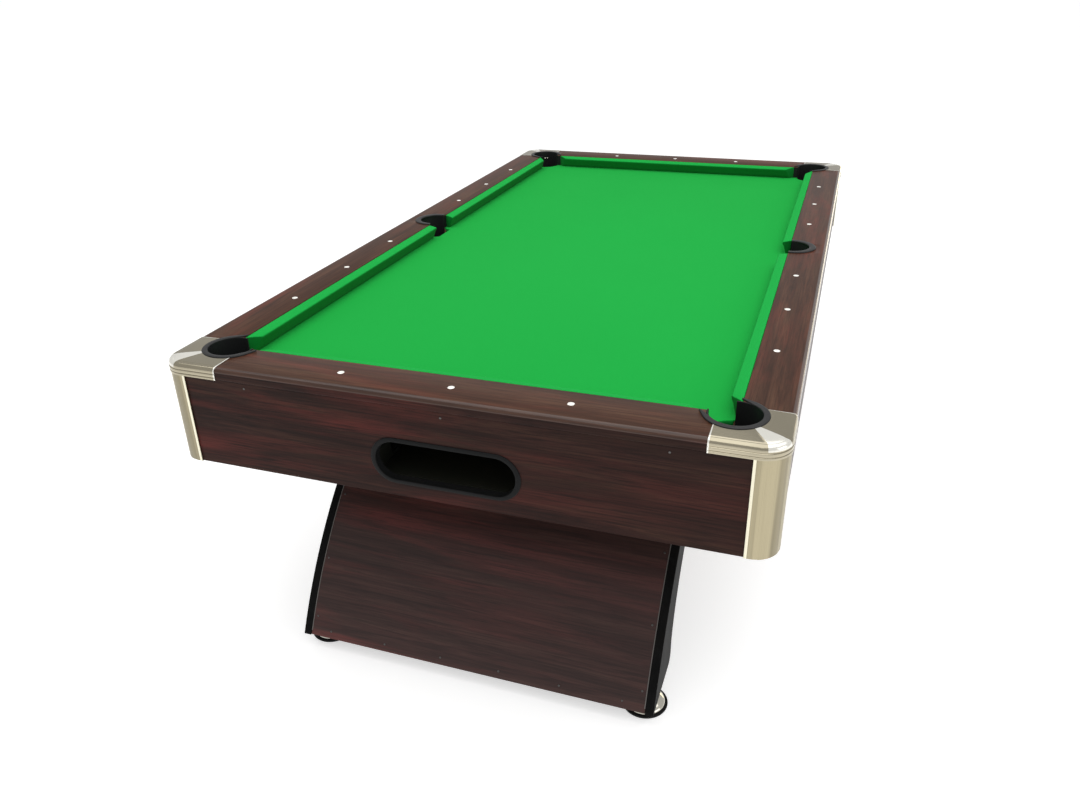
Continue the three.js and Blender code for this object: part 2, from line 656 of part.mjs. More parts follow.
for (const row of crossBoardRows) {
  const half = apronX - BOARD - GAP;
  const board = box(-half, half, row.y - BEAM / 2, row.y + BEAM / 2, apronBottom, beamTop);
  const laps = [-BEAM_X, BEAM_X].map((x) => box(x - BEAM / 2 - GAP, x + BEAM / 2 + GAP,
    row.y - BEAM, row.y + BEAM, apronBottom - 1, lapHeight));
  const notches = [-GULLY_X, GULLY_X].map((x) => box(x - halfGully - 4, x + halfGully + 4,
    row.y - BEAM, row.y + BEAM, GULLY_FLOOR_NEAR - 10, beamTop + 1));
  const clearX = sidePocketX - holeRadius - 4;
  const pocketRoom = [[-half - 1, -clearX], [clearX, half + 1]].map(([x0, x1]) => box(x0, x1,
    row.y - BEAM, row.y + BEAM, gullyTop - 2, beamTop + 1));
  const sidePocketCuts = row.y === 0 ? pocketRoom : [];
  place(`cross_board_${row.name}`, cut(board, ...laps, ...notches, ...sidePocketCuts), finish.board);
}

// ---- Pedestals ---------------------------------------------------------

const pedestalTop = apronBottom - GAP;
const arcAngle = (z, radius) => Math.PI - Math.asin((z - ARC_CENTRE_Z) / radius);

// Back edge of a pedestal: upright above the floor, then sweeping in under the table.
const backEdge = new THREE.QuadraticBezierCurve(
  new THREE.Vector2(PEDESTAL_BACK_Y, 100),
  new THREE.Vector2(PEDESTAL_BACK_Y + 45, 340),
  new THREE.Vector2(PEDESTAL_BACK_Y + 525, pedestalTop));

function pedestalSideSection() {
  const heelY = PEDESTAL_BACK_Y - PEDESTAL_HEEL;
  const section = new THREE.Shape();
  section.moveTo(heelY, PEDESTAL_BOTTOM);
  section.absarc(heelY, PEDESTAL_BOTTOM + PEDESTAL_HEEL, PEDESTAL_HEEL, -Math.PI / 2, 0);
  section.lineTo(backEdge.v0.x, backEdge.v0.y);
  section.quadraticCurveTo(backEdge.v1.x, backEdge.v1.y, backEdge.v2.x, backEdge.v2.y);
  section.absarc(ARC_CENTRE_Y, ARC_CENTRE_Z, ARC_RADIUS,
    arcAngle(pedestalTop, ARC_RADIUS), arcAngle(PEDESTAL_BOTTOM, ARC_RADIUS));
  return section;
}

function outerPanelSection() {
  const outer = ARC_RADIUS - 1.5;
  const inner = outer - PEDESTAL_PANEL;
  const section = new THREE.Shape();
  section.absarc(ARC_CENTRE_Y, ARC_CENTRE_Z, outer,
    arcAngle(pedestalTop, outer), arcAngle(PEDESTAL_BOTTOM + 1, outer));
  section.absarc(ARC_CENTRE_Y, ARC_CENTRE_Z, inner,
    arcAngle(PEDESTAL_BOTTOM + 1, inner), arcAngle(pedestalTop, inner), true);
  return section;
}

function innerPanelSection() {
  const { v0, v1, v2 } = backEdge;
  const shift = 9;
  const foot = BASE_PLATE_BOTTOM + BOARD + GAP;
  const section = new THREE.Shape();
  section.moveTo(v0.x - shift, foot);
  section.lineTo(v0.x - 1, foot);
  section.lineTo(v0.x - 1, v0.y);
  section.quadraticCurveTo(v1.x - 1, v1.y, v2.x - 1, v2.y);
  section.lineTo(v2.x - 3 * shift, v2.y);
  section.quadraticCurveTo(v1.x - shift, v1.y + shift, v0.x - shift, v0.y);
  return section;
}

function pedestal(end, turns) {
  const group = turnedGroup(0, 0, turns);
  const panelHalf = PEDESTAL_HALF_WIDTH - PEDESTAL_SIDE - GAP;
  const [rightName, leftName] = turns === 0 ? ['right', 'left'] : ['left', 'right'];
  const side = pedestalSideSection();
  place(`pedestal_${end}_side_${rightName}`,
    lengthAlongX(side, PEDESTAL_HALF_WIDTH - PEDESTAL_SIDE, PEDESTAL_HALF_WIDTH), finish.blackBoard, group);
  place(`pedestal_${end}_side_${leftName}`,
    lengthAlongX(side, -PEDESTAL_HALF_WIDTH, -PEDESTAL_HALF_WIDTH + PEDESTAL_SIDE), finish.blackBoard, group);
  place(`pedestal_${end}_outer_panel`,
    lengthAlongX(outerPanelSection(), -panelHalf, panelHalf, 14), finish.mahogany, group);
  place(`pedestal_${end}_inner_panel`,
    lengthAlongX(innerPanelSection(), -panelHalf, panelHalf), finish.blackBoard, group);
  place(`pedestal_${end}_top_plate`,
    box(-panelHalf, panelHalf, TOP_PLATE_OUTER_Y, TOP_PLATE_INNER_Y, pedestalTop - BEAM, pedestalTop),
    finish.board, group);
  const plateTop = BASE_PLATE_BOTTOM + BOARD;
  const base = box(-panelHalf, panelHalf, BASE_PLATE_OUTER_Y, BASE_PLATE_INNER_Y, BASE_PLATE_BOTTOM, plateTop);
  const holes = [-FOOT_X, FOOT_X].map((x) => drum(x, -FOOT_Y, STEM_RADIUS + 0.5, 0, plateTop + 1, 16));
  place(`pedestal_${end}_base_plate`, cut(base, ...holes), finish.board, group);
}

pedestal('near', 0);
pedestal('far', 2);

// ---- Levelling feet ----------------------------------------------------

// Domed disc with its threaded stem; the collar stops against the base plate.
const collarTop = BASE_PLATE_BOTTOM - GAP;
const footDisc = turned([
  [0, PAD_HEIGHT + GAP], [DISC_RADIUS, PAD_HEIGHT + GAP], [DISC_RADIUS, PAD_HEIGHT + 3.3],
  [DISC_RADIUS - 4, 15], [HUB_RADIUS + 8, 26], [HUB_RADIUS, 33],
  [HUB_RADIUS, collarTop], [STEM_RADIUS, collarTop],
  [STEM_RADIUS, STEM_TOP - 2], [STEM_RADIUS - 1.5, STEM_TOP], [0, STEM_TOP],
], 20);
const footPad = turned([
  [0, 0], [FOOT_RADIUS - 2, 0], [FOOT_RADIUS, 2], [FOOT_RADIUS, PAD_HEIGHT - 1],
  [FOOT_RADIUS - 1, PAD_HEIGHT], [0, PAD_HEIGHT],
], 28);

for (const corner of corners) {
  const group = turnedGroup(corner.x * FOOT_X, corner.y * FOOT_Y, 0);
  place(`foot_disc_${corner.name}`, footDisc, finish.chrome, group);
  place(`foot_pad_${corner.name}`, footPad, finish.rubber, group);
}

export default table;
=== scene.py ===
"""Looks of a pool table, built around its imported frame.

Metres, +Z up, +Y along the table. Sizes are written in millimetres and scaled by MM.
"""
import math

import bmesh
import bpy
from mathutils import Matrix, Vector


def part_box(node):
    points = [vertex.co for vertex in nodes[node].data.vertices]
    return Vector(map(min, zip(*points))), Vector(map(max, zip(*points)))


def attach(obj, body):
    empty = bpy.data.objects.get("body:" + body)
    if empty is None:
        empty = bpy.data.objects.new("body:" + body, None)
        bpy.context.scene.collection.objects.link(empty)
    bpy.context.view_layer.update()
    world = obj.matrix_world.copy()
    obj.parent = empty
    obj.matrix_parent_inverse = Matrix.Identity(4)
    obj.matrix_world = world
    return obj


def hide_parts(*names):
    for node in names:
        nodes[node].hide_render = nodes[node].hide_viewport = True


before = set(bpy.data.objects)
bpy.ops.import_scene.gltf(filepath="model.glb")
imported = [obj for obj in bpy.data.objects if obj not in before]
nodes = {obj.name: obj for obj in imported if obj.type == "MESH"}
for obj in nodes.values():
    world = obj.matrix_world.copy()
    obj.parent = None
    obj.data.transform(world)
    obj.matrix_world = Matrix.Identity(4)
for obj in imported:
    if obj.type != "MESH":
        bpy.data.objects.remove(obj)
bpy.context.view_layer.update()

MM = 0.001
TABLE = "table"

# Sizes that the frame's boxes give, in millimetres.
low, high = [[c / MM for c in corner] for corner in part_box("rail_right")]
RAIL_OUTER_X, RAIL_TOP = high[0], high[2]
low, high = [[c / MM for c in corner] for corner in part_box("apron_right")]
RAIL_BOTTOM = high[2] + 0.3
low, high = [[c / MM for c in corner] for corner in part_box("rail_far")]
RAIL_OUTER_Y = high[1]
low, high = [[c / MM for c in corner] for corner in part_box("cushion_right_near")]
NOSE_X, WOOD_X = low[0], high[0]
low, high = [[c / MM for c in corner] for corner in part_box("cushion_far")]
NOSE_Y, WOOD_Y = low[1], high[1]
low, high = [[c / MM for c in corner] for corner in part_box("bed_cloth")]
CLOTH_HALF_X, CLOTH_HALF_Y, CLOTH_TOP = high
low, high = [[c / MM for c in corner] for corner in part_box("corner_cap_far_right")]
CORNER_X, CORNER_Y, CAP_TOP = high
CAP_FOOT = low[2]
CAP_ARM = CORNER_X - low[0]
low, high = [[c / MM for c in corner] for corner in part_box("corner_post_far_right")]
POST_FACE = CORNER_X - high[0]
POST_LEG = CORNER_X - low[0]
POST_BOTTOM, POST_TOP = low[2], high[2]
low, high = [[c / MM for c in corner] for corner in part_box("pocket_liner_side_right")]
LINER_BOTTOM, RIM_TOP = low[2], high[2]
low, high = [[c / MM for c in corner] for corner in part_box("bed_panel")]
BED_BOTTOM = low[2]
low, high = [[c / MM for c in corner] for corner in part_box("apron_near")]
APRON_FACE_Y = low[1]
low, high = [[c / MM for c in corner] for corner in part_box("apron_right")]
APRON_FACE_X = high[0]
low, high = [[c / MM for c in corner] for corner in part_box("ball_return_bezel")]
BEZEL_HALF, BEZEL_FACE_Y = high[0], low[1]
BEZEL_Z, BEZEL_HALF_HEIGHT = (low[2] + high[2]) / 2, (high[2] - low[2]) / 2
low, high = [[c / MM for c in corner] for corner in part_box("pedestal_near_side_right")]
SIDE_OUTER, SIDE_INNER = high[0], low[0]
PEDESTAL_BOTTOM, PEDESTAL_TOP = low[2], high[2]

# Sizes of the design that no box gives, in millimetres.
POCKET_HOLE = 55.6
LINER_RADIUS = 52
LINER_WALL = 3
RIM_RADIUS = 65
POCKET_X, POCKET_Y, SIDE_POCKET_X = 570, 1130, 586
SIDE_SHELF_X, SIDE_LIP_SHIFT = 552, 6
CAP_ROUND = 58
POST_RADIUS = 56
ARC_Y, ARC_Z, ARC_RADIUS = -225, -450, 1091
BACK_EDGE = ((-1005, 100), (-960, 340), (-480, PEDESTAL_TOP))

SIDES = {"right": 1, "left": -1}
ENDS = {"near": -1, "far": 1}
CORNERS = [(f"{e}_{s}", SIDES[s], ENDS[e]) for e in ENDS for s in SIDES]


# ---- Materials -----------------------------------------------------------

def new_material(name, **values):
    """A Principled material with constants on the shader's own sockets, and its node tree."""
    material = bpy.data.materials.new(name)
    material.use_nodes = True
    tree = material.node_tree
    tree.nodes.clear()
    output = tree.nodes.new("ShaderNodeOutputMaterial")
    shader = tree.nodes.new("ShaderNodeBsdfPrincipled")
    tree.links.new(shader.outputs["BSDF"], output.inputs["Surface"])
    for key, value in values.items():
        shader.inputs[key.replace("_", " ")].default_value = value
    return material, tree, shader


def node(tree, kind, inputs, **settings):
    """Adds a node; an input is a number or another node's output."""
    made = tree.nodes.new("ShaderNode" + kind)
    for key, value in settings.items():
        setattr(made, key, value)
    for key, value in inputs.items():
        if isinstance(value, bpy.types.NodeSocket):
            tree.links.new(value, made.inputs[key])
        else:
            made.inputs[key].default_value = value
    return made


def stretched(tree, scale, offset=(0, 0, 0), turn=(0, 0, 0)):
    """Object coordinates, scaled along each axis."""
    place = node(tree, "TexCoord", {}).outputs["Object"]
    return node(tree, "Mapping", {"Vector": place, "Scale": scale, "Location": offset,
                                  "Rotation": turn}).outputs["Vector"]


def noise(tree, vector, scale=1.0, detail=4.0, roughness=0.55, distortion=0.0):
    return node(tree, "TexNoise", {"Vector": vector, "Scale": scale, "Detail": detail,
                                   "Roughness": roughness, "Distortion": distortion}).outputs["Fac"]


def ramp(tree, factor, stops):
    """A colour ramp; each stop is (position, colour)."""
    made = node(tree, "ValToRGB", {"Fac": factor})
    elements = made.color_ramp.elements
    while len(elements) < len(stops):
        elements.new(0.5)
    for element, (position, colour) in zip(elements, stops):
        element.position = position
        element.color = (*colour, 1)
    return made.outputs["Color"]


def between(tree, factor, low_value, high_value, start=0.0, end=1.0):
    return node(tree, "MapRange", {"Value": factor, "From Min": start, "From Max": end,
                                   "To Min": low_value, "To Max": high_value}).outputs["Result"]


def mixed(tree, factor, a, b, blend="MIX"):
    made = tree.nodes.new("ShaderNodeMix")
    made.data_type = "RGBA"
    made.blend_type = blend
    for socket, value in ((made.inputs[0], factor), (made.inputs[6], a), (made.inputs[7], b)):
        if isinstance(value, bpy.types.NodeSocket):
            tree.links.new(value, socket)
        elif socket is made.inputs[0]:
            socket.default_value = value
        else:
            socket.default_value = (*value, 1)
    return made.outputs[2]


def bump(tree, height, shader, distance, strength=1.0):
    made = node(tree, "Bump", {"Height": height, "Strength": strength, "Distance": distance})
    tree.links.new(made.outputs["Normal"], shader.inputs["Normal"])


def edge_wear(tree, base, worn, amount):
    """Lightens the outward edges, where handling rubs the finish."""
    point = node(tree, "NewGeometry", {}).outputs["Pointiness"]
    return mixed(tree, between(tree, point, 0.0, amount, 0.53, 0.62), base, worn)


def wood_laminate(name, axis, seed, dark, middle, red, light,
                  shine=0.12, gloss=0.34, coat=0.0, fade=None):
    """Printed mahogany laminate with its grain along one axis: broad red streaks, cathedral
    figure, fine lines and pores under a satin finish. Past the first place in fade, in metres
    along the grain, the red streaks get weaker, down to a third at the second."""
    material, tree, shader = new_material(
        name, Specular_IOR_Level=shine, Coat_Weight=coat, Coat_Roughness=0.12)
    along = {"X": (1, 0, 0), "Y": (0, 1, 0), "Z": (0, 0, 1)}[axis]

    def grain(run, across):
        return tuple(run if a else across for a in along)

    broad = noise(tree, stretched(tree, grain(0.9, 6.0), (seed, seed, seed)), 1, 5, 0.62, 1.6)
    streak = noise(tree, stretched(tree, grain(2.2, 44), (seed * 2, 0, seed)), 1, 8, 0.72, 1.1)
    lines = noise(tree, stretched(tree, grain(6, 260), (0, seed, 0)), 1, 4, 0.68, 0.5)
    figure = node(tree, "TexWave", {
        "Vector": stretched(tree, grain(0.32, 4.2), (0, seed, seed)), "Scale": 1.9,
        "Distortion": 9.0, "Detail": 3.0, "Detail Scale": 0.7, "Detail Roughness": 0.55,
    }, wave_type="BANDS", bands_direction="DIAGONAL").outputs["Fac"]
    pores = noise(tree, stretched(tree, grain(14, 520)), 1, 2, 0.7)

    base = ramp(tree, streak, [(0.32, dark), (0.5, middle), (0.68, light)])
    redness = between(tree, broad, 0.0, 0.9, 0.46, 0.62)
    if fade:
        place = node(tree, "TexCoord", {}).outputs["Object"]
        position = node(tree, "SeparateXYZ", {"Vector": place}).outputs[axis]
        kept = between(tree, position, 1.0, 0.33, *fade)
        redness = node(tree, "Math", {0: redness, 1: kept}, operation="MULTIPLY").outputs[0]
    base = mixed(tree, redness, base, red)
    base = mixed(tree, between(tree, figure, 0.0, 0.4, 0.35, 0.95), base, dark)
    base = mixed(tree, between(tree, lines, 0.0, 0.7, 0.46, 0.66), base, dark)
    base = mixed(tree, between(tree, pores, 0.0, 0.4, 0.56, 0.72), base, dark)
    base = edge_wear(tree, base, tuple(min(1, 2.2 * c + 0.01) for c in light), 0.3)
    tree.links.new(base, shader.inputs["Base Color"])
    tree.links.new(between(tree, streak, gloss * 0.9, gloss * 1.2), shader.inputs["Roughness"])
    bump(tree, pores, shader, 0.0001, 0.4)
    return material


def cloth_material(name, colour, deep, upright=0.0):
    """Tightly woven billiard cloth with a short nap; with upright given, faces turned away from facing up get painted
    shade, a deeper colour.
    """
    material, tree, shader = new_material(
        name, Roughness=0.95, Specular_IOR_Level=0.05,
        Sheen_Weight=0.03, Sheen_Roughness=0.55, Sheen_Tint=(0.55, 1.0, 0.6, 1))
    threads = [node(tree, "TexWave", {
        "Vector": stretched(tree, (1, 1, 1)), "Scale": 330, "Distortion": 1.2,
        "Detail": 1.5, "Detail Scale": 3.0,
    }, wave_type="BANDS", bands_direction=axis).outputs["Fac"] for axis in ("X", "Y")]
    woven = node(tree, "Math", {0: threads[0], 1: threads[1]}, operation="MULTIPLY").outputs[0]
    fluff = noise(tree, stretched(tree, (1, 1, 1)), 900, 3, 0.7)
    patches = noise(tree, stretched(tree, (1, 1, 1)), 2.2, 3, 0.5)
    base = ramp(tree, fluff, [(0.3, deep), (0.62, colour)])
    base = mixed(tree, between(tree, woven, 0.0, 0.22), base, deep)
    base = mixed(tree, between(tree, patches, 0.0, 0.1, 0.35, 0.65), base, deep)
    # Painted shade: the colour deepens as a face turns from facing up to upright, standing in for the shade on the
    # cushions' fronts.
    if upright:
        normal = node(tree, "NewGeometry", {}).outputs["Normal"]
        facing_up = node(tree, "SeparateXYZ", {"Vector": normal}).outputs["Z"]
        painted_shade_colour = tuple(0.45 * c for c in deep)
        base = mixed(tree, between(tree, facing_up, upright, 0.0, 0.15, 0.75), base, painted_shade_colour)
    tree.links.new(base, shader.inputs["Base Color"])
    height = node(tree, "Math", {0: woven, 1: fluff}, operation="ADD").outputs[0]
    bump(tree, height, shader, 0.00025, 0.35)
    return material


def metal(name, colour, roughness, brushed=None, wear=0.25, plating=1.0):
    """Plated metal; brushed gives the axis that its fine lines and broad bands run along."""
    material, tree, shader = new_material(name, Metallic=plating)
    fine = {"Z": (900, 900, 5)}.get(brushed, (260, 260, 260))
    broad = {"Z": (38, 38, 0.6)}.get(brushed, (5, 5, 5))
    lines = noise(tree, stretched(tree, fine), 1, 2, 0.6)
    bands = noise(tree, stretched(tree, broad), 1, 3, 0.55)
    deep = tuple(0.55 * c for c in colour)
    base = mixed(tree, between(tree, bands, 0.0, 0.95 if brushed else 0.25, 0.42, 0.6), colour, deep)
    base = mixed(tree, between(tree, lines, 0.0, 0.3 if brushed else 0.06, 0.45, 0.75), base, deep)
    base = edge_wear(tree, base, tuple(min(1, 1.35 * c) for c in colour), wear)
    tree.links.new(base, shader.inputs["Base Color"])
    tree.links.new(between(tree, bands, 0.9 * roughness, 1.12 * roughness), shader.inputs["Roughness"])
    bump(tree, lines, shader, 0.00002 if brushed else 0.000003, 0.5)
    return material


def moulded(name, colour, roughness, grain=700, depth=0.00008, coat=0.0, shine=0.26):
    """Moulded plastic or rubber with a fine pebble grain."""
    material, tree, shader = new_material(
        name, Coat_Weight=coat, Coat_Roughness=0.3, Specular_IOR_Level=shine)
    pebble = noise(tree, stretched(tree, (1, 1, 1)), grain, 3, 0.6)
    smears = noise(tree, stretched(tree, (1, 1, 1)), 9, 4, 0.6)
    light = tuple(1.5 * c + 0.004 for c in colour)
    base = mixed(tree, between(tree, pebble, 0.0, 0.5, 0.35, 0.7), colour, light)
    base = mixed(tree, between(tree, smears, 0.0, 0.3, 0.4, 0.75), base, light)
    base = edge_wear(tree, base, tuple(3.5 * c + 0.02 for c in colour), 0.4)
    tree.links.new(base, shader.inputs["Base Color"])
    tree.links.new(between(tree, smears, roughness * 0.85, roughness * 1.2), shader.inputs["Roughness"])
    bump(tree, pebble, shader, depth, 0.5)
    return material


def plain_board(name, light, dark, axis):
    """Unfinished board under the table: pressed fibres with a faint lengthwise drag."""
    material, tree, shader = new_material(name, Specular_IOR_Level=0.25)
    scale = {"X": (14, 160, 160), "Y": (160, 14, 160)}[axis]
    drag = noise(tree, stretched(tree, scale), 1, 5, 0.65)
    fibres = noise(tree, stretched(tree, (1, 1, 1)), 420, 4, 0.7)
    base = mixed(tree, between(tree, drag, 0.0, 0.8, 0.35, 0.7), light, dark)
    base = mixed(tree, between(tree, fibres, 0.0, 0.4, 0.45, 0.75), base, dark)
    tree.links.new(base, shader.inputs["Base Color"])
    tree.links.new(between(tree, fibres, 0.7, 0.9), shader.inputs["Roughness"])
    bump(tree, fibres, shader, 0.0002, 0.6)
    return material


MAHOGANY = {
    "dark": (0.013, 0.0075, 0.0065), "middle": (0.036, 0.0155, 0.0125),
    "red": (0.098, 0.0225, 0.0185), "light": (0.054, 0.0265, 0.018), "shine": 0.07,
}
PANEL_WOOD = {
    "dark": (0.019, 0.0105, 0.0098), "middle": (0.050, 0.022, 0.0195),
    "red": (0.122, 0.030, 0.027), "light": (0.066, 0.034, 0.0275), "shine": 0.30, "gloss": 0.36,
}
# Painted light from above: the rails' tops take this copy of the laminate, about twice as light as the MAHOGANY of the
# aprons and the rails' upright fronts; the bullnose copy below is 0.8 of it.
RAIL_WOOD_PAINTED_LIGHT = {
    "dark": (0.038, 0.017, 0.0105), "middle": (0.086, 0.0365, 0.0215),
    "red": (0.140, 0.038, 0.024), "light": (0.112, 0.057, 0.033), "shine": 0.07, "gloss": 0.30,
}
EDGE_WOOD_PAINTED_LIGHT = {**{key: tuple(0.8 * c for c in RAIL_WOOD_PAINTED_LIGHT[key]) for key in ("dark", "middle", "red", "light")},
             "shine": 0.25, "gloss": 0.3}
RED_FADE = (-0.35, 0.3)
finish = {
    "rail_y": wood_laminate("mahogany_rail_long_painted_light", "Y", 3.1, **RAIL_WOOD_PAINTED_LIGHT),
    "rail_x": wood_laminate("mahogany_rail_short_painted_light", "X", 5.7, **RAIL_WOOD_PAINTED_LIGHT),
    "edge_y": wood_laminate("mahogany_bullnose_long_painted_light", "Y", 3.1, **EDGE_WOOD_PAINTED_LIGHT, coat=0.8),
    "edge_x": wood_laminate("mahogany_bullnose_short_painted_light", "X", 5.7, **EDGE_WOOD_PAINTED_LIGHT, coat=0.4),
    "apron_x": wood_laminate("mahogany_apron_short", "X", 1.3, **MAHOGANY, fade=RED_FADE),
    "apron_y": wood_laminate("mahogany_apron_long", "Y", 2.9, **MAHOGANY, fade=(-3.0, 0.5)),
    "panel": wood_laminate("mahogany_panel", "X", 8.3, **PANEL_WOOD, fade=RED_FADE),
    "black_board": wood_laminate("black_board", "Z", 4.4, (0.0035, 0.0035, 0.0035),
                                 (0.0062, 0.0062, 0.0064), (0.0075, 0.007, 0.0068),
                                 (0.0095, 0.0095, 0.0095), 0.05, 0.5),
    "edge_band": moulded("edge_band", (0.07, 0.064, 0.06), 0.5, 300, 0.00003),
    "cloth": cloth_material("green_cloth", (0.014, 0.455, 0.066), (0.008, 0.32, 0.042)),
    # The cushions' cloth gets painted shade on its upright faces.
    "cushion_cloth": cloth_material("green_cushion_cloth", (0.014, 0.46, 0.074), (0.008, 0.31, 0.045), 0.85),
    "nickel": metal("champagne_brushed", (0.40, 0.35, 0.232), 0.30, "Z"),
    # The posts' flat lips: unbrushed, and a lighter champagne than the body as painted highlight.
    "nickel_lip_painted_highlight": metal("champagne_lip_painted_highlight", (0.78, 0.73, 0.57), 0.26),
    "nickel_cap": metal("champagne_satin", (0.445, 0.40, 0.295), 0.17),
    # Painted highlight: a near-white, half-metallic champagne for the caps' diagonal band and arm ends.
    "nickel_painted_highlight": metal("champagne_painted_highlight", (0.93, 0.91, 0.83), 0.17, plating=0.5),
    "chrome": metal("warm_chrome", (0.74, 0.71, 0.62), 0.13),
    "plastic": moulded("black_plastic", (0.0035, 0.0038, 0.0040), 0.42, shine=0.12),
    "plastic_rim": moulded("rim_plastic", (0.008, 0.008, 0.0085), 0.36, shine=0.3),
    "tray": moulded("tray_plastic", (0.010, 0.011, 0.008), 0.5, shine=0.12),
    "rubber": moulded("rubber", (0.006, 0.006, 0.006), 0.75, 500, 0.0002),
    "board_x": plain_board("board_across", (0.30, 0.19, 0.10), (0.16, 0.09, 0.045), "X"),
    "board_y": plain_board("board_along", (0.30, 0.19, 0.10), (0.16, 0.09, 0.045), "Y"),
    "sight": moulded("sight_white", (0.86, 0.85, 0.80), 0.25, 300, 0.00002, 0.4),
    "screw": metal("screw_steel", (0.12, 0.115, 0.11), 0.3),
}


# ---- Mesh helpers --------------------------------------------------------

def add_piece(name, parts, material, body=TABLE, replaces=(), sharp=32, bevel=0.0, segments=2):
    """One object from (points, faces, material index) parts given in millimetres."""
    mesh = bpy.data.meshes.new(name)
    points, faces, indices = [], [], []
    for part_points, part_faces, index in parts:
        start = len(points)
        points += part_points
        faces += [[start + i for i in face] for face in part_faces]
        indices += [index] * len(part_faces)
    mesh.from_pydata([Vector(p) * MM for p in points], [], faces)
    for each in material if isinstance(material, (list, tuple)) else [material]:
        mesh.materials.append(finish[each])
    mesh.polygons.foreach_set("material_index", indices)
    shell = bmesh.new()
    shell.from_mesh(mesh)
    bmesh.ops.remove_doubles(shell, verts=shell.verts, dist=0.00001)
    bmesh.ops.recalc_face_normals(shell, faces=shell.faces)
    shell.to_mesh(mesh)
    shell.free()
    mesh.shade_smooth()
    mesh.set_sharp_from_angle(angle=math.radians(sharp))
    piece = bpy.data.objects.new(name, mesh)
    bpy.context.scene.collection.objects.link(piece)
    if bevel:
        round_edges(piece, bevel, segments)
    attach(piece, body)
    if replaces:
        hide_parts(*replaces)
    return piece


def round_edges(piece, width, segments=2):
    """Rounds the hard edges by width millimetres."""
    modifier = piece.modifiers.new("edge", "BEVEL")
    modifier.width = width * MM
    modifier.segments = segments
    modifier.limit_method = "ANGLE"
    modifier.angle_limit = math.radians(32)
    modifier.harden_normals = True
    modifier.use_clamp_overlap = True


def loft(rings, closed_section=True, closed_path=False, capped=True, index=0):
    """Skin over rings of as many points each."""
    count = len(rings[0])
    points = [p for ring in rings for p in ring]
    faces = []
    for i in range(len(rings) if closed_path else len(rings) - 1):
        a, b = i * count, (i + 1) % len(rings) * count
        for j in range(count if closed_section else count - 1):
            k = (j + 1) % count
            faces.append([a + j, a + k, b + k, b + j])
    if capped and not closed_path:
        faces.append(list(range(count)))
        faces.append([(len(rings) - 1) * count + j for j in reversed(range(count))])
    return points, faces, index


def lathe(profile, centre, sides=48, index=0):
    """A closed profile of (radius, z) turned about a vertical axis; it starts and ends on it."""
    rings = []
    for i in range(sides):
        angle = 2 * math.pi * i / sides
        rings.append([(centre[0] + r * math.cos(angle), centre[1] + r * math.sin(angle), z)
                      for r, z in profile])
    return loft(rings, closed_section=False, closed_path=True, index=index)


def arc(cx, cy, radius, start, end, steps):
    """Points from start to end degrees round a centre."""
    return [(cx + radius * math.cos(math.radians(start + (end - start) * i / steps)),
             cy + radius * math.sin(math.radians(start + (end - start) * i / steps)))
            for i in range(steps + 1)]


def blend01(value, start, end):
    t = min(1.0, max(0.0, (value - start) / (end - start)))
    return t * t * (3 - 2 * t)


# ---- Rails and sights ----------------------------------------------------

def rail_stations(end, pockets):
    """Places along a rail, close together round each pocket."""
    stations = {-end, end}
    steps = 28
    for place, radius in pockets:
        for i in range(steps + 1):
            angle = math.pi * i / steps
            stations.add(round(place + radius * math.cos(angle), 3))
        stations |= {place - radius - 0.02, place + radius + 0.02}
    run = -end
    while run < end:
        stations.add(run)
        run += 40
    return sorted(s for s in stations if -end <= s <= end)


def rail(name, along, side, wood, outer, end, pockets):
    """A rail with a bullnose edge; pockets are (place along, distance out) of the pocket centres."""
    foot, bottom, nose, small = CLOTH_TOP + 0.3, RAIL_BOTTOM, 10, 4
    edge = ([(outer - small, bottom)] + arc(outer - small, bottom + small, small, -90, 0, 4)[1:]
            + arc(outer - nose, RAIL_TOP - nose, nose, 0, 90, 12))
    rings = []
    for s in rail_stations(end, [(place, POCKET_HOLE) for place, _ in pockets]):
        inner = wood
        for place, out in pockets:
            offset = abs(s - place)
            if offset < POCKET_HOLE:
                inner = max(inner, out + math.sqrt(POCKET_HOLE ** 2 - offset ** 2))
            if place and abs(s) > abs(place) and s * place > 0:
                inner = out + POCKET_HOLE
        step = max(inner + 0.5, wood + 32)
        section = ([(inner, foot), (step, foot), (step, bottom)] + edge
                   + [(inner + 1.2, RAIL_TOP), (inner + 0.35, RAIL_TOP - 0.35), (inner, RAIL_TOP - 1.2)])
        if along == "Y":
            rings.append([(side * a, s, z) for a, z in section])
        else:
            rings.append([(s, side * a, z) for a, z in section])
    points, faces, _ = loft(rings)
    count = len(rings[0])
    # Materials: 0 the top, 1 the bullnose, 2 the upright front, 3 the face inside the pockets.
    # The top's lighter copy of the laminate, and the bullnose's at 0.8 of it, are painted light from above; the
    # upright front takes the darker apron copy.
    kinds = [0] * count
    kinds[count - 16:count - 4] = [1] * 12
    kinds[count - 21:count - 16] = [2] * 5
    kinds[count - 1] = 3
    parts = [(points, [], kind) for kind in range(4)]
    for face in faces:
        kind = kinds[face[0] % count] if len(face) == 4 else 0
        parts[kind][1].append(face)
    axis = along.lower()
    add_piece(name, parts, [f"rail_{axis}", f"edge_{axis}", f"apron_{axis}", "plastic"],
              replaces=[name])


for label, sign in SIDES.items():
    rail(f"rail_{label}", "Y", sign, WOOD_X, RAIL_OUTER_X, 1184,
         [(-POCKET_Y, POCKET_X), (0, SIDE_POCKET_X), (POCKET_Y, POCKET_X)])
for label, sign in ENDS.items():
    rail(f"rail_{label}", "X", sign, WOOD_Y, RAIL_OUTER_Y, 624,
         [(-POCKET_X, POCKET_Y), (POCKET_X, POCKET_Y)])

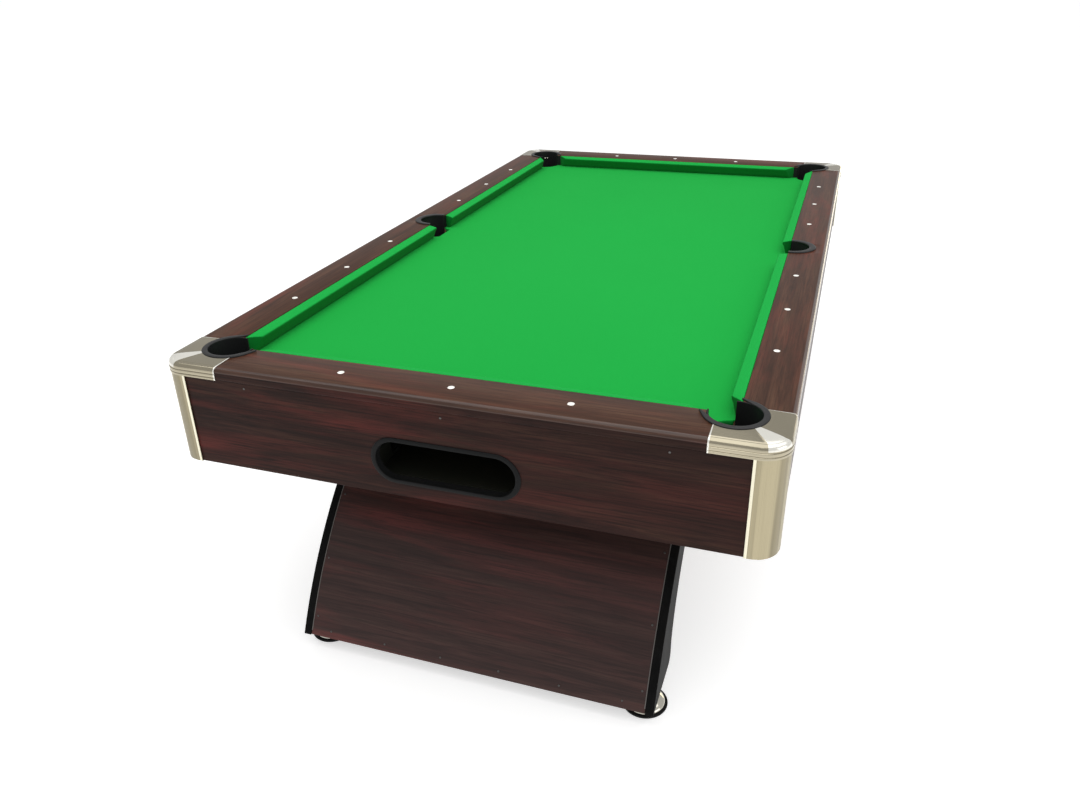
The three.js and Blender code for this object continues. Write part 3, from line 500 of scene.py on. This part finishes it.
SIGHT_X, SIGHT_Y = 615, 1179
SIGHT_ALONG_SIDE = [s * (i + 1) * 267 for s in (-1, 1) for i in range(3)]
SIGHT_ALONG_END = [-257, 0, 257]
sight_profile = [(0, RAIL_TOP + 0.55), (5.0, RAIL_TOP + 0.5), (6.8, RAIL_TOP + 0.3),
                 (7.4, RAIL_TOP - 0.1), (7.4, RAIL_TOP - 1.5), (0, RAIL_TOP - 1.5)]
for label, sign in SIDES.items():
    add_piece(f"sights_{label}", [lathe(sight_profile, (sign * SIGHT_X, y), 32) for y in SIGHT_ALONG_SIDE],
              "sight")
for label, sign in ENDS.items():
    add_piece(f"sights_{label}", [lathe(sight_profile, (x, sign * SIGHT_Y), 32) for x in SIGHT_ALONG_END],
              "sight")


# ---- Cushions ------------------------------------------------------------

FACING_SLOPE = 1 / math.tan(math.radians(39))
SIDE_SLOPE = -0.12
CORNER_END_X, CORNER_END_Y, SIDE_END = 470, 1040, 64


def cushion_section(depth):
    """Cloth over the rubber, as (distance behind the nose, height): undercut, nose, crowned top
    and the tuck where the cloth goes down beside the rail."""
    foot = CLOTH_TOP + 0.7
    nose_radius, nose_z = 4.6, RAIL_TOP - 9.6
    section = [(depth - 0.5, foot), (14.2, foot), (12.6, foot + 0.5), (11.6, foot + 2.0)]
    section += [(8.2, foot + 12), (4.6, foot + 22)]
    section += arc(nose_radius, nose_z, nose_radius, 196, 96, 9)
    top_low, top_high = nose_z + nose_radius, RAIL_TOP - 0.5
    start, finish_at = nose_radius + 0.2, depth - 3.4
    for i in range(1, 6):
        t = i / 5
        section.append((start + (finish_at - start) * t,
                        top_low + (top_high - top_low) * t + 0.35 * math.sin(math.pi * t)))
    section += [(depth - 2.0, RAIL_TOP - 0.9), (depth - 1.0, RAIL_TOP - 2.0), (depth - 0.5, RAIL_TOP - 4.0)]
    return section


def cushion(name, nose, depth, start, end, start_slope, end_slope, place):
    """One cushion with angled facings; the ends of the cloth are folded round them."""
    section = cushion_section(depth)
    shrink = [(0.0, 2.4), (0.35, 1.2), (1.1, 0.4), (2.4, 0.0)]
    span = [i / 30 for i in range(1, 30)]
    middle_d, middle_z = depth * 0.55, RAIL_TOP - 20
    rings = []

    def ring(offset_from, run, pull):
        points = []
        for d, z in section:
            length = math.hypot(d - middle_d, z - middle_z)
            d2 = d + (middle_d - d) * pull / length
            z2 = z + (middle_z - z) * pull / length
            y_start = start - start_slope * d2
            y_end = end + end_slope * d2
            y = y_start + offset_from if run < 0 else y_end - offset_from if run > 1 else (
                y_start + 2.4 + (y_end - y_start - 4.8) * run)
            points.append(place(nose + d2, y, z2))
        return points

    for offset, pull in shrink:
        rings.append(ring(offset, -1, pull))
    for t in span:
        rings.append(ring(0, t, 0))
    for offset, pull in reversed(shrink):
        rings.append(ring(offset, 2, pull))
    piece = add_piece(name, [loft(rings)], "cushion_cloth", replaces=[name], sharp=50)
    return piece


for label, sign in ENDS.items():
    cushion(f"cushion_{label}", NOSE_Y, WOOD_Y - NOSE_Y, -CORNER_END_X, CORNER_END_X,
            FACING_SLOPE, FACING_SLOPE, lambda a, s, z, sign=sign: (s, sign * a, z))
for label, sign in SIDES.items():
    for end_label, end_sign in ENDS.items():
        cushion(f"cushion_{label}_{end_label}", NOSE_X, WOOD_X - NOSE_X, SIDE_END, CORNER_END_Y,
                SIDE_SLOPE, FACING_SLOPE,
                lambda a, s, z, sign=sign, e=end_sign: (sign * a, e * s, z))


# ---- Bed cloth -----------------------------------------------------------

def cloth_outline():
    """Outline of the cloth round the six pockets: (x, y, outward x, outward y, mouth weight)."""
    gap = 0.1
    radius = POCKET_HOLE - gap
    outline = []

    def pocket(cx, cy, start, end, middle, half_mouth, steps=40):
        for i in range(steps + 1):
            angle = start + (end - start) * i / steps
            a = math.radians(angle)
            off = abs(angle - middle)
            weight = 1 - blend01(off, half_mouth - 6, half_mouth)
            outline.append((cx + radius * math.cos(a), cy + radius * math.sin(a),
                            -math.cos(a), -math.sin(a), weight))

    end_side = math.degrees(math.asin(math.sqrt(radius ** 2 - (CLOTH_HALF_X - POCKET_X) ** 2) / radius))
    end_end = math.degrees(math.asin((CLOTH_HALF_Y - POCKET_Y) / radius))
    side_half = math.degrees(math.acos((CLOTH_HALF_X - SIDE_POCKET_X) / radius))
    shelf = SIDE_SHELF_X - gap
    meets = math.degrees(math.acos((shelf - SIDE_POCKET_X) / radius))

    def side_pocket(sign):
        """An arc in from the rail, the straight shelf, and the arc back out to the rail."""
        half_shelf = radius * math.sin(math.radians(meets))
        for i in range(13):
            a = math.radians(side_half + (meets - side_half) * i / 12)
            outline.append((sign * (SIDE_POCKET_X + radius * math.cos(a)), -sign * radius * math.sin(a),
                            -sign * math.cos(a), sign * math.sin(a), blend01(i, 6.4, 8.5)))
        for i in range(1, 24):
            y = half_shelf * (i / 12 - 1)
            outline.append((sign * shelf, sign * y, sign, 0, 1.0))
        for i in range(12, -1, -1):
            a = math.radians(side_half + (meets - side_half) * i / 12)
            outline.append((sign * (SIDE_POCKET_X + radius * math.cos(a)), sign * radius * math.sin(a),
                            -sign * math.cos(a), -sign * math.sin(a), blend01(i, 6.4, 8.5)))

    side_pocket(1)
    pocket(POCKET_X, POCKET_Y, -end_side, -180 - end_end, -135, 38)
    pocket(-POCKET_X, POCKET_Y, end_end, -180 + end_side, -45, 38)
    side_pocket(-1)
    pocket(-POCKET_X, -POCKET_Y, 180 - end_side, -end_end, 45, 38)
    pocket(POCKET_X, -POCKET_Y, 180 + end_end, end_side, 135, 38)
    return outline


def bed_cloth():
    """The stretched bed cloth, rolled over the bed's edge where the pocket mouths are open."""
    outline = cloth_outline()
    roll = [(2.0, 0.0, 0.0), (1.2, 0.12, 0.1), (0.6, 0.45, 0.4), (0.2, 1.1, 1.0), (0.0, 1.1, 4.5),
            (0.0, 1.1, 25.0)]
    rings = []
    for back, over, down in roll:
        ring = []
        for x, y, nx, ny, weight in outline:
            shift = over * weight - back
            # The outward direction from the cloth is towards the pocket's centre.
            ring.append((x + nx * shift, y + ny * shift,
                         CLOTH_TOP - down * weight - (0.9 * (1 - weight) if down > 4 else 0)))
        rings.append(ring)
    points, faces, _ = loft([list(r) for r in rings], closed_section=True, closed_path=False, capped=False)
    count = len(outline)
    mesh = bpy.data.meshes.new("bed_cloth")
    shell = bmesh.new()
    verts = [shell.verts.new(Vector(p) * MM) for p in points]
    for face in faces:
        shell.faces.new([verts[i] for i in face])
    shell.faces.new(verts[:count])
    bmesh.ops.remove_doubles(shell, verts=shell.verts, dist=0.000005)
    bmesh.ops.recalc_face_normals(shell, faces=shell.faces)
    if sum(f.normal.z * f.calc_area() for f in shell.faces) < 0:
        bmesh.ops.reverse_faces(shell, faces=shell.faces)
    bmesh.ops.triangulate(shell, faces=[f for f in shell.faces if len(f.verts) > 4])
    area = sum(f.calc_area() for f in shell.faces)
    shell.to_mesh(mesh)
    shell.free()
    mesh.materials.append(finish["cloth"])
    mesh.shade_smooth()
    mesh.set_sharp_from_angle(angle=math.radians(60))
    piece = bpy.data.objects.new("bed_cloth", mesh)
    bpy.context.scene.collection.objects.link(piece)
    solid = piece.modifiers.new("thickness", "SOLIDIFY")
    solid.thickness = 1.1 * MM
    solid.offset = -1
    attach(piece, TABLE)
    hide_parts("bed_cloth")


bed_cloth()


# ---- Pocket liners -------------------------------------------------------

def liner(name, centre, facing, outer_start, inner_start, half, mouth_half, lip_shift=0.0):
    """A pocket liner: rounded rim, hanging wall, lower collar and two rivets.
    facing is the direction in degrees from the pocket out to the table's edge."""
    def at(radius, angle, z):
        a = math.radians(facing + angle)
        return centre[0] + radius * math.cos(a), centre[1] + radius * math.sin(a), z

    steps = 96
    rim = []
    for i in range(steps + 1):
        angle = -half + 2 * half * i / steps
        outer = RIM_RADIUS / math.cos(math.radians(max(0, abs(angle) - outer_start)))
        inner = LINER_RADIUS / math.cos(math.radians(max(0, abs(angle) - inner_start)))
        if lip_shift:
            a = math.radians(angle)
            inner = math.sqrt(LINER_RADIUS ** 2 - (lip_shift * math.sin(a)) ** 2) - lip_shift * math.cos(a)
        end = min(1.0, (half - abs(angle)) / 3 + 0.35)
        low_z, top = RAIL_TOP + 0.25, RIM_TOP
        edge = min(1.3, (outer - inner) * 0.3) * end
        rim.append([at(inner, angle, low_z), at(inner, angle, top - edge * 1.2),
                    at(inner + 0.3 * edge, angle, top - edge * 0.45), at(inner + edge, angle, top),
                    at((inner + outer) / 2, angle, top - 0.05),
                    at(outer - edge, angle, top), at(outer - 0.3 * edge, angle, top - edge * 0.35),
                    at(outer, angle, top - edge), at(outer, angle, low_z)])
    wall_half = 180 - mouth_half
    wall = []
    outer_wall = LINER_RADIUS + LINER_WALL
    for i in range(73):
        angle = -wall_half + 2 * wall_half * i / 72
        wall.append([at(LINER_RADIUS, angle, LINER_BOTTOM), at(LINER_RADIUS, angle, RAIL_TOP + 1.5),
                     at(outer_wall, angle, RAIL_TOP + 1.5), at(outer_wall, angle, LINER_BOTTOM)])
    collar = []
    collar_top = BED_BOTTOM - 2
    for i in range(72):
        angle = 5 * i
        collar.append([at(LINER_RADIUS + 0.05, angle, LINER_BOTTOM + 0.1),
                       at(LINER_RADIUS + 0.05, angle, collar_top - 1.4),
                       at(LINER_RADIUS + 0.7, angle, collar_top - 0.3),
                       at(LINER_RADIUS + 1.5, angle, collar_top), at(outer_wall - 0.7, angle, collar_top - 0.2),
                       at(outer_wall - 0.1, angle, collar_top - 0.8), at(outer_wall - 0.1, angle, LINER_BOTTOM + 0.1)])
    add_piece(name, [loft(rim, index=1), loft(wall), loft(collar, closed_path=True)],
              ["plastic", "plastic_rim"], replaces=[name], sharp=40)
    rivets = []
    for angle in (-34, -22):
        rings = []
        for inset, radius in ((2.6, 0.0), (2.4, 1.8), (1.4, 3.2), (0.4, 3.9), (0.0, 4.0)):
            ring = []
            for k in range(20):
                turn = 2 * math.pi * k / 20
                x, y, z = at(LINER_RADIUS - inset, angle, RAIL_TOP - 26 + radius * math.sin(turn))
                a = math.radians(facing + angle + 90)
                ring.append((x + radius * math.cos(turn) * math.cos(a),
                             y + radius * math.cos(turn) * math.sin(a), z))
            rings.append(ring)
        rivets.append(loft(rings))
    add_piece(name.replace("pocket_liner", "liner_rivets"), rivets, "chrome")


for label, sx, sy in CORNERS:
    liner(f"pocket_liner_{label}", (sx * POCKET_X, sy * POCKET_Y),
          math.degrees(math.atan2(sy, sx)), 110.2, 94.0, 132, 39.5)
for label, sign in SIDES.items():
    liner(f"pocket_liner_side_{label}", (sign * SIDE_POCKET_X, 0), 0 if sign > 0 else 180,
          200, 200, 98.6, 82, SIDE_LIP_SHIFT)


# ---- Corner caps ---------------------------------------------------------

def cap_outline(t):
    """Outer outline of a cap from the side arm's end (t=0) to the end arm's end (t=1), as
    (distance in from the side face, from the end face, inward direction)."""
    straight = CAP_ARM - CAP_ROUND
    bend = CAP_ROUND * math.pi / 2
    run = t * (2 * straight + bend)
    if run <= straight:
        return (0, CAP_ARM - run, 1, 0)
    if run >= straight + bend:
        return (CAP_ROUND + run - straight - bend, 0, 0, 1)
    angle = (run - straight) / CAP_ROUND
    return (CAP_ROUND - CAP_ROUND * math.cos(angle), CAP_ROUND - CAP_ROUND * math.sin(angle),
            math.cos(angle), math.sin(angle))


CAP_EDGE = [
    # (distance in, depth below the top): inner face, foot bead, flat face, shoulder.
    (1.9, 26.0), (1.9, 29.7), (0.9, 30.0), (0.25, 29.6), (0.0, 28.7), (0.0, 26.4), (0.3, 25.4),
    (0.95, 24.8), (1.5, 24.3), (0.95, 23.8), (0.4, 23.1), (0.1, 21.8), (0.05, 18.2), (0.4, 16.9),
    (1.1, 16.2), (1.75, 15.6), (1.25, 15.0), (0.95, 14.0), (0.95, 12.4), (1.35, 9.3), (2.35, 6.6),
    (4.1, 4.3), (6.4, 2.55), (8.9, 1.55), (11.6, 1.15), (12.7, 1.35), (13.5, 1.0),
]
CAP_UNDER = [(12.0, 1.9), (8.2, 2.7), (4.9, 4.9), (2.7, 8.1), (1.9, 12.0)]


def corner_cap(label, sx, sy):
    """A pressed cap: reeded skirt and shoulder, two sloping arms and a flat diagonal band."""
    centre = CORNER_X - POCKET_X
    rim = RIM_RADIUS + 0.4
    end_angle = 180 - math.degrees(math.asin((CAP_ARM - centre) / rim))
    band_angle, band_run, end_run = 5.5, 0.105, 0.011

    def place(a, b, z):
        return sx * (CORNER_X - a), sy * (CORNER_Y - b), z

    steps, rings, on_band = 120, [], []
    edges = [0.0, 0.5 - band_run, 0.5 + band_run, 1.0]
    stations = sorted({i / steps for i in range(steps + 1)} | {edges[1], edges[2], end_run, 1 - end_run})
    for t in stations:
        a, b, na, nb = cap_outline(t)
        if t <= edges[1]:
            angle = end_angle + (225 - band_angle - end_angle) * t / edges[1]
        elif t >= edges[2]:
            angle = 225 + band_angle + (225 - end_angle - band_angle) * (t - edges[2]) / (1 - edges[2])
        else:
            angle = 225 + band_angle * (t - 0.5) / band_run
        qa, qb = centre + rim * math.cos(math.radians(angle)), centre + rim * math.sin(math.radians(angle))
        band = min(1.0, max(0.0, (band_run + 0.012 - abs(t - 0.5)) / 0.012))
        pinch = 1.0 if t in (0.0, 1.0) else 0.0
        ring = [place(a + na * max(d, pinch * 0.7), b + nb * max(d, pinch * 0.7),
                      CAP_TOP - min(depth + pinch * 0.5, 30.0)) for d, depth in CAP_EDGE]
        start_a, start_b, start_depth = a + na * 13.5, b + nb * 13.5, 1.0
        for k in range(1, 9):
            f = k / 8
            rise = start_depth * (1 - f) * (1 - band) + start_depth * max(0, 1 - 6 * f) * band
            if k == 8:
                rise = 0.25
            drop = CAP_TOP - rise - 0.5 * pinch
            ring.append(place(start_a + (qa - start_a) * f, start_b + (qb - start_b) * f, drop))
        ring.append(place(qa, qb, CAP_TOP - 1.6))
        ring.append(place(start_a, start_b, CAP_TOP - 1.72))
        ring += [place(a + na * d, b + nb * d, CAP_TOP - depth) for d, depth in CAP_UNDER]
        rings.append(ring)
        on_band.append(band)
    points, faces, _ = loft(rings)
    count = len(rings[0])
    shoulder_first = len(CAP_EDGE) - 9
    # Painted highlight: the top of the diagonal band and the lips at the arms' ends take the near-white, half-metallic
    # champagne.
    base, highlight_faces = [], []
    for number, face in enumerate(faces):
        row, column = divmod(number, count)
        in_band = row < len(on_band) - 1 and edges[1] - 1e-6 <= stations[row] < edges[2] - 1e-6
        on_top = shoulder_first <= column <= len(CAP_EDGE) + 7
        at_end = row in (0, 1, len(stations) - 3, len(stations) - 2) and (
            stations[row] < end_run or stations[row] >= 1 - end_run - 1e-6)
        painted_highlight = (in_band and on_top) or (at_end and column <= len(CAP_EDGE) + 7)
        (highlight_faces if painted_highlight else base).append(face)
    mesh_parts = [(points, base, 0), (points, highlight_faces, 1)]
    add_piece(f"corner_cap_{label}", mesh_parts, ["nickel_cap", "nickel_painted_highlight"],
              replaces=[f"corner_cap_{label}"], sharp=24)


for label, sx, sy in CORNERS:
    corner_cap(label, sx, sy)


# ---- Corner posts --------------------------------------------------------

def corner_post(label, sx, sy):
    """A quarter-round post with fine upright reeds between two flat lips."""
    face, radius, leg = POST_FACE, POST_RADIUS, POST_LEG
    centre = face + radius
    back_face = face + 3.6
    lip = [(leg, face + 1.0), (leg - 0.3, face + 0.3), (leg - 1.0, face), (centre + 2.2, face),
           (centre + 1.2, face + 0.5), (centre + 0.2, face + 0.1)]
    outline = list(lip)
    reeds = 34
    for i in range(1, reeds * 6):
        angle = math.radians(90 * i / (reeds * 6))
        r = radius - 0.22 * (0.5 - 0.5 * math.cos(2 * math.pi * i / 6))
        outline.append((centre - r * math.sin(angle), centre - r * math.cos(angle)))
    outline += [(b, a) for a, b in reversed(lip)]
    outline += [(back_face, leg), (back_face, centre), (24, centre), (centre, 24), (centre, back_face),
                (leg, back_face)]
    rings = []
    for z, pull in ((POST_BOTTOM, 0.8), (POST_BOTTOM + 0.8, 0.0), (POST_TOP, 0.0)):
        ring = []
        for a, b in outline:
            shift = pull if min(a, b) < back_face - 0.1 else 0
            ring.append((sx * (CORNER_X - a - shift), sy * (CORNER_Y - b - shift), z))
        rings.append(ring)
    points, faces, _ = loft(rings)
    count, flat = len(outline), len(lip) - 3
    lips = [f for f in faces if len(f) == 4 and (
        f[0] % count < flat or count - 9 - flat <= f[0] % count < count - 6)]
    rest = [f for f in faces if f not in lips]
    # The flat lips take the lighter, unbrushed champagne: painted highlight.
    add_piece(f"corner_post_{label}", [(points, rest, 0), (points, lips, 1)], ["nickel", "nickel_lip_painted_highlight"],
              replaces=[f"corner_post_{label}"], sharp=40)


for label, sx, sy in CORNERS:
    corner_post(label, sx, sy)


# ---- Ball return bezel ---------------------------------------------------

def stadium(half_width, half_height, steps=24):
    run = half_width - half_height
    return arc(run, 0, half_height, -90, 90, steps) + arc(-run, 0, half_height, 90, 270, steps)


def bezel():
    """Moulded oval surround with a rounded flange and a sleeve through the apron."""
    face, flange = BEZEL_FACE_Y, 10
    mouth_height = BEZEL_HALF_HEIGHT - flange
    mouth_width = BEZEL_HALF - 1.2 * flange
    profile = [(0.0, face + 19), (0.0, face + 2.2), (0.35, face + 0.9), (1.2, face + 0.15), (2.4, face),
               (6.5, face + 0.25), (9.0, face + 0.9), (9.8, face + 1.8), (flange, face + 3.0),
               (3.0, face + 3.0), (3.0, face + 19)]
    rings = []
    for out, y in profile:
        wide = 1.2 if y < face + 3.0 or out == flange else 1.0
        rings.append([(x, y, BEZEL_Z + z) for x, z in stadium(mouth_width + out * wide, mouth_height + out)])
    columns = [[ring[i] for ring in rings] for i in range(len(rings[0]))]
    add_piece("ball_return_bezel", [loft(columns, closed_path=True)], "plastic",
              replaces=["ball_return_bezel"], sharp=30)


bezel()


# ---- Pedestals -----------------------------------------------------------

def on_arc(radius, z):
    return ARC_Y - math.sqrt(radius ** 2 - (z - ARC_Z) ** 2)


def quadratic(a, b, c, steps):
    return [tuple((1 - t) ** 2 * p + 2 * (1 - t) * t * q + t * t * r for p, q, r in zip(a, b, c))
            for t in (i / steps for i in range(steps + 1))]


def pedestal_side(name, sign, x0, x1):
    """Side board with a rounded heel, a swept back and an arched front edge."""
    heel, back_y = 25, BACK_EDGE[0][0]
    outline = arc(back_y - heel, PEDESTAL_BOTTOM + heel, heel, -90, 0, 8)
    outline += quadratic(*BACK_EDGE, 36)
    steps = 48
    outline += [(on_arc(ARC_RADIUS, z), z) for z in (
        PEDESTAL_TOP + (PEDESTAL_BOTTOM - PEDESTAL_TOP) * i / steps for i in range(steps + 1))]
    rings = [[(x, -sign * y, z) for y, z in outline] for x in (x0, x1)]
    add_piece(name, [loft(rings)], "black_board", replaces=[name], bevel=1.3, segments=3)


def curved_panel(name, sign, half, inner_line, outer_line, material):
    outline = inner_line + list(reversed(outer_line))
    rings = [[(x, -sign * y, z) for y, z in outline] for x in (-half, half)]
    add_piece(name, [loft(rings)], material, replaces=[name], bevel=0.8)


def screw_head(x, y, z, normal, radius=2.6):
    """A domed screw head with a cross recess, facing along normal (mm)."""
    n = Vector(normal).normalized()
    u = n.orthogonal().normalized()
    v = n.cross(u)
    rings = []
    for r, out in ((0.0, 0.55), (0.45, 0.6), (0.62, 1.05), (0.85, 0.9), (1.0, 0.35), (1.0, -0.6), (0.0, -0.6)):
        ring = []
        for k in range(16):
            turn = 2 * math.pi * k / 16
            reach = radius * r * (0.62 if 0 < r < 0.5 and k % 4 in (1, 2, 3) else 1)
            p = Vector((x, y, z)) + u * reach * math.cos(turn) + v * reach * math.sin(turn) + n * out
            ring.append(tuple(p))
        rings.append(ring)
    return loft(rings)


PANEL_HALF = SIDE_INNER - 0.3
for end_label, end_sign in ENDS.items():
    for label, sign in SIDES.items():
        x0, x1 = sorted((sign * SIDE_INNER, sign * SIDE_OUTER))
        pedestal_side(f"pedestal_{end_label}_side_{label}", end_sign, x0, x1)
    outer_radius, thickness, steps = ARC_RADIUS - 1.5, 12, 48
    heights = [PEDESTAL_BOTTOM + 1 + (PEDESTAL_TOP - PEDESTAL_BOTTOM - 1) * i / steps for i in range(steps + 1)]
    curved_panel(f"pedestal_{end_label}_outer_panel", end_sign, PANEL_HALF,
                 [(on_arc(outer_radius, z), z) for z in heights],
                 [(on_arc(outer_radius - thickness, z), z) for z in heights], "panel")
    (y0, z0), (y1, z1), (y2, z2) = BACK_EDGE
    foot = 64.3
    curved_panel(f"pedestal_{end_label}_inner_panel", end_sign, PANEL_HALF,
                 [(y0 - 1, foot)] + quadratic((y0 - 1, z0), (y1 - 1, z1), (y2 - 1, z2), 36),
                 [(y0 - 9, foot)] + quadratic((y0 - 9, z0), (y1 - 9, z1 + 9), (y2 - 27, z2), 36),
                 "black_board")
    bands = []
    for sign in SIDES.values():
        edge = [[(x, -end_sign * on_arc(outer_radius + out, z), z) for x, out in (
            (sign * (PANEL_HALF - 2.4), 0.1), (sign * (PANEL_HALF - 2.2), 0.7),
            (sign * (PANEL_HALF - 0.2), 0.7), (sign * PANEL_HALF, 0.1))] for z in heights[1:-1]]
        bands.append(loft(edge))
    add_piece(f"pedestal_{end_label}_edge_bands", bands, "edge_band")
    heads = []

    def panel_point(x, z, end_sign=end_sign):
        y = on_arc(outer_radius, z)
        normal = Vector((0, y - ARC_Y, z - ARC_Z))
        return x, y * -end_sign, z, (normal.x, normal.y * -end_sign, normal.z)

    for i in range(6):
        heads.append(screw_head(*panel_point(-PANEL_HALF + 55 + i * (2 * PANEL_HALF - 110) / 5, PEDESTAL_BOTTOM + 17)))
    for x in (-PANEL_HALF + 12, PANEL_HALF - 12):
        for i in range(4):
            heads.append(screw_head(*panel_point(x, PEDESTAL_BOTTOM + 45 + 125 * i)))
    add_piece(f"pedestal_{end_label}_screws", heads, "screw", sharp=50)

heads = []
for end_sign in ENDS.values():
    for x in (-467, 0, 467):
        heads.append(screw_head(x, end_sign * -APRON_FACE_Y, RAIL_TOP - 41, (0, end_sign, 0)))
add_piece("apron_screws_ends", heads, "screw", sharp=50)
heads = []
for sign in SIDES.values():
    for y in (-1000, -500, 0, 500, 1000):
        heads.append(screw_head(sign * APRON_FACE_X, y, RAIL_TOP - 41, (sign, 0, 0)))
add_piece("apron_screws_sides", heads, "screw", sharp=50)


# ---- Levelling feet ------------------------------------------------------

for label, sx, sy in CORNERS:
    low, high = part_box(f"foot_pad_{label}")
    centre = ((low.x + high.x) / 2 / MM, (low.y + high.y) / 2 / MM)
    pad_top = high.z / MM
    pad = [(0, 0), (49, 0), (51.5, 0.4), (53.2, 1.4), (54, 2.8), (54, 3.1), (53.1, 3.5), (54, 3.9),
           (54, 5.2), (53.4, 6.3), (52, pad_top), (0, pad_top)]
    add_piece(f"foot_pad_{label}", [lathe(pad, centre, 72)], "rubber",
              body=f"pad_{label}", replaces=[f"foot_pad_{label}"])
    base = pad_top + 0.3
    disc = [(0, base), (46.8, base), (47.5, base + 0.6), (47.6, base + 1.5), (47.2, base + 2.6),
            (46.2, base + 4.4), (43.6, base + 6.6), (39, base + 9.6), (31, base + 14), (24, base + 18.2), (18.5, base + 22.6),
            (15, base + 26), (13.5, base + 29), (13.5, 45.7), (5.9, 45.7)]
    for i in range(28):
        z = 46.5 + i * 1.75
        disc += [(5.85, z), (5.25, z + 0.85)]
    disc += [(5.0, 98.0), (4.2, 99.6), (0, 99.6)]
    add_piece(f"foot_disc_{label}", [lathe(disc, centre, 64)], "chrome",
              body=f"foot_{label}", replaces=[f"foot_disc_{label}"], sharp=40)


# ---- Carried-over boards, gullies and tray -------------------------------

CARRIED = {
    "apron_near": ("apron_x", 1.0), "apron_far": ("apron_x", 1.0),
    "apron_right": ("apron_y", 1.0), "apron_left": ("apron_y", 1.0),
    "bed_panel": ("board_y", 0.4), "ball_tray": ("tray", 1.0),
    "ball_gully_right": ("tray", 1.0), "ball_gully_left": ("tray", 1.0),
    "frame_beam_right": ("board_y", 0.6), "frame_beam_left": ("board_y", 0.6),
    "cross_board_near": ("board_x", 0.6), "cross_board_middle": ("board_x", 0.6),
    "cross_board_far": ("board_x", 0.6),
    "pedestal_near_top_plate": ("board_x", 0.6), "pedestal_far_top_plate": ("board_x", 0.6),
    "pedestal_near_base_plate": ("black_board", 0.6), "pedestal_far_base_plate": ("black_board", 0.6),
}
for name, (material, width) in CARRIED.items():
    carried = nodes[name]
    for each in carried.material_slots:
        each.material = finish[material]
    weld = carried.modifiers.new("weld", "WELD")
    weld.merge_threshold = 0.00002
    round_edges(carried, width)


# ---- Camera, floor and light ---------------------------------------------

def area_light(name, place, target, width, height, power, colour=(1, 1, 1)):
    light = bpy.data.lights.new(name, "AREA")
    light.shape = "RECTANGLE"
    light.size, light.size_y = width, height
    light.energy = power
    light.color = colour
    lamp = bpy.data.objects.new(name, light)
    lamp.location = place
    lamp.visible_camera = False
    lamp.rotation_euler = (Vector(target) - Vector(place)).to_track_quat("-Z", "Y").to_euler()
    bpy.context.scene.collection.objects.link(lamp)


camera = bpy.data.cameras.new("camera")
camera.lens = 29.33
camera.sensor_width = 36
camera_object = bpy.data.objects.new("camera", camera)
right = Vector((0.94589, 0.32396, -0.01854)).normalized()
forward = Vector((-0.29678, 0.84061, -0.45311)).normalized()
up = right.cross(forward).normalized()
camera_object.matrix_world = Matrix.Translation((0.7123, -2.6513, 1.5780)) @ Matrix(
    (right, up, -forward)).transposed().to_4x4()
bpy.context.scene.collection.objects.link(camera_object)
bpy.context.scene.camera = camera_object

floor_mesh = bpy.data.meshes.new("floor")
reach = 60
floor_mesh.from_pydata([(-reach, -reach, 0), (reach, -reach, 0), (reach, reach, 0), (-reach, reach, 0)],
                       [], [(0, 1, 2, 3)])
floor = bpy.data.objects.new("floor", floor_mesh)
bpy.context.scene.collection.objects.link(floor)
floor_material, floor_tree, floor_shader = new_material("floor", Roughness=0.85, Specular_IOR_Level=0.1)
floor_shader.inputs["Base Color"].default_value = (0.8, 0.8, 0.8, 1)
floor_shader.inputs["Emission Color"].default_value = (1, 1, 1, 1)
floor_shader.inputs["Emission Strength"].default_value = 0.56
floor_mesh.materials.append(floor_material)

world = bpy.data.worlds.new("studio")
world.use_nodes = True
world.node_tree.nodes["Background"].inputs["Color"].default_value = (1, 1, 1, 1)
world.node_tree.nodes["Background"].inputs["Strength"].default_value = 0.56
bpy.context.scene.world = world
bpy.context.scene.view_settings.view_transform = "Standard"

area_light("overhead", (0.3, -0.2, 4.2), (0, 0, 0), 6, 6, 140)
area_light("right_panel", (4.2, -1.6, 1.7), (0.6, 0, 0.7), 2.4, 1.8, 22)
area_light("far_right_panel", (2.4, 6.0, 0.5), (0.7, 0, 0.8), 3.2, 0.9, 21, (1.0, 0.88, 0.62))
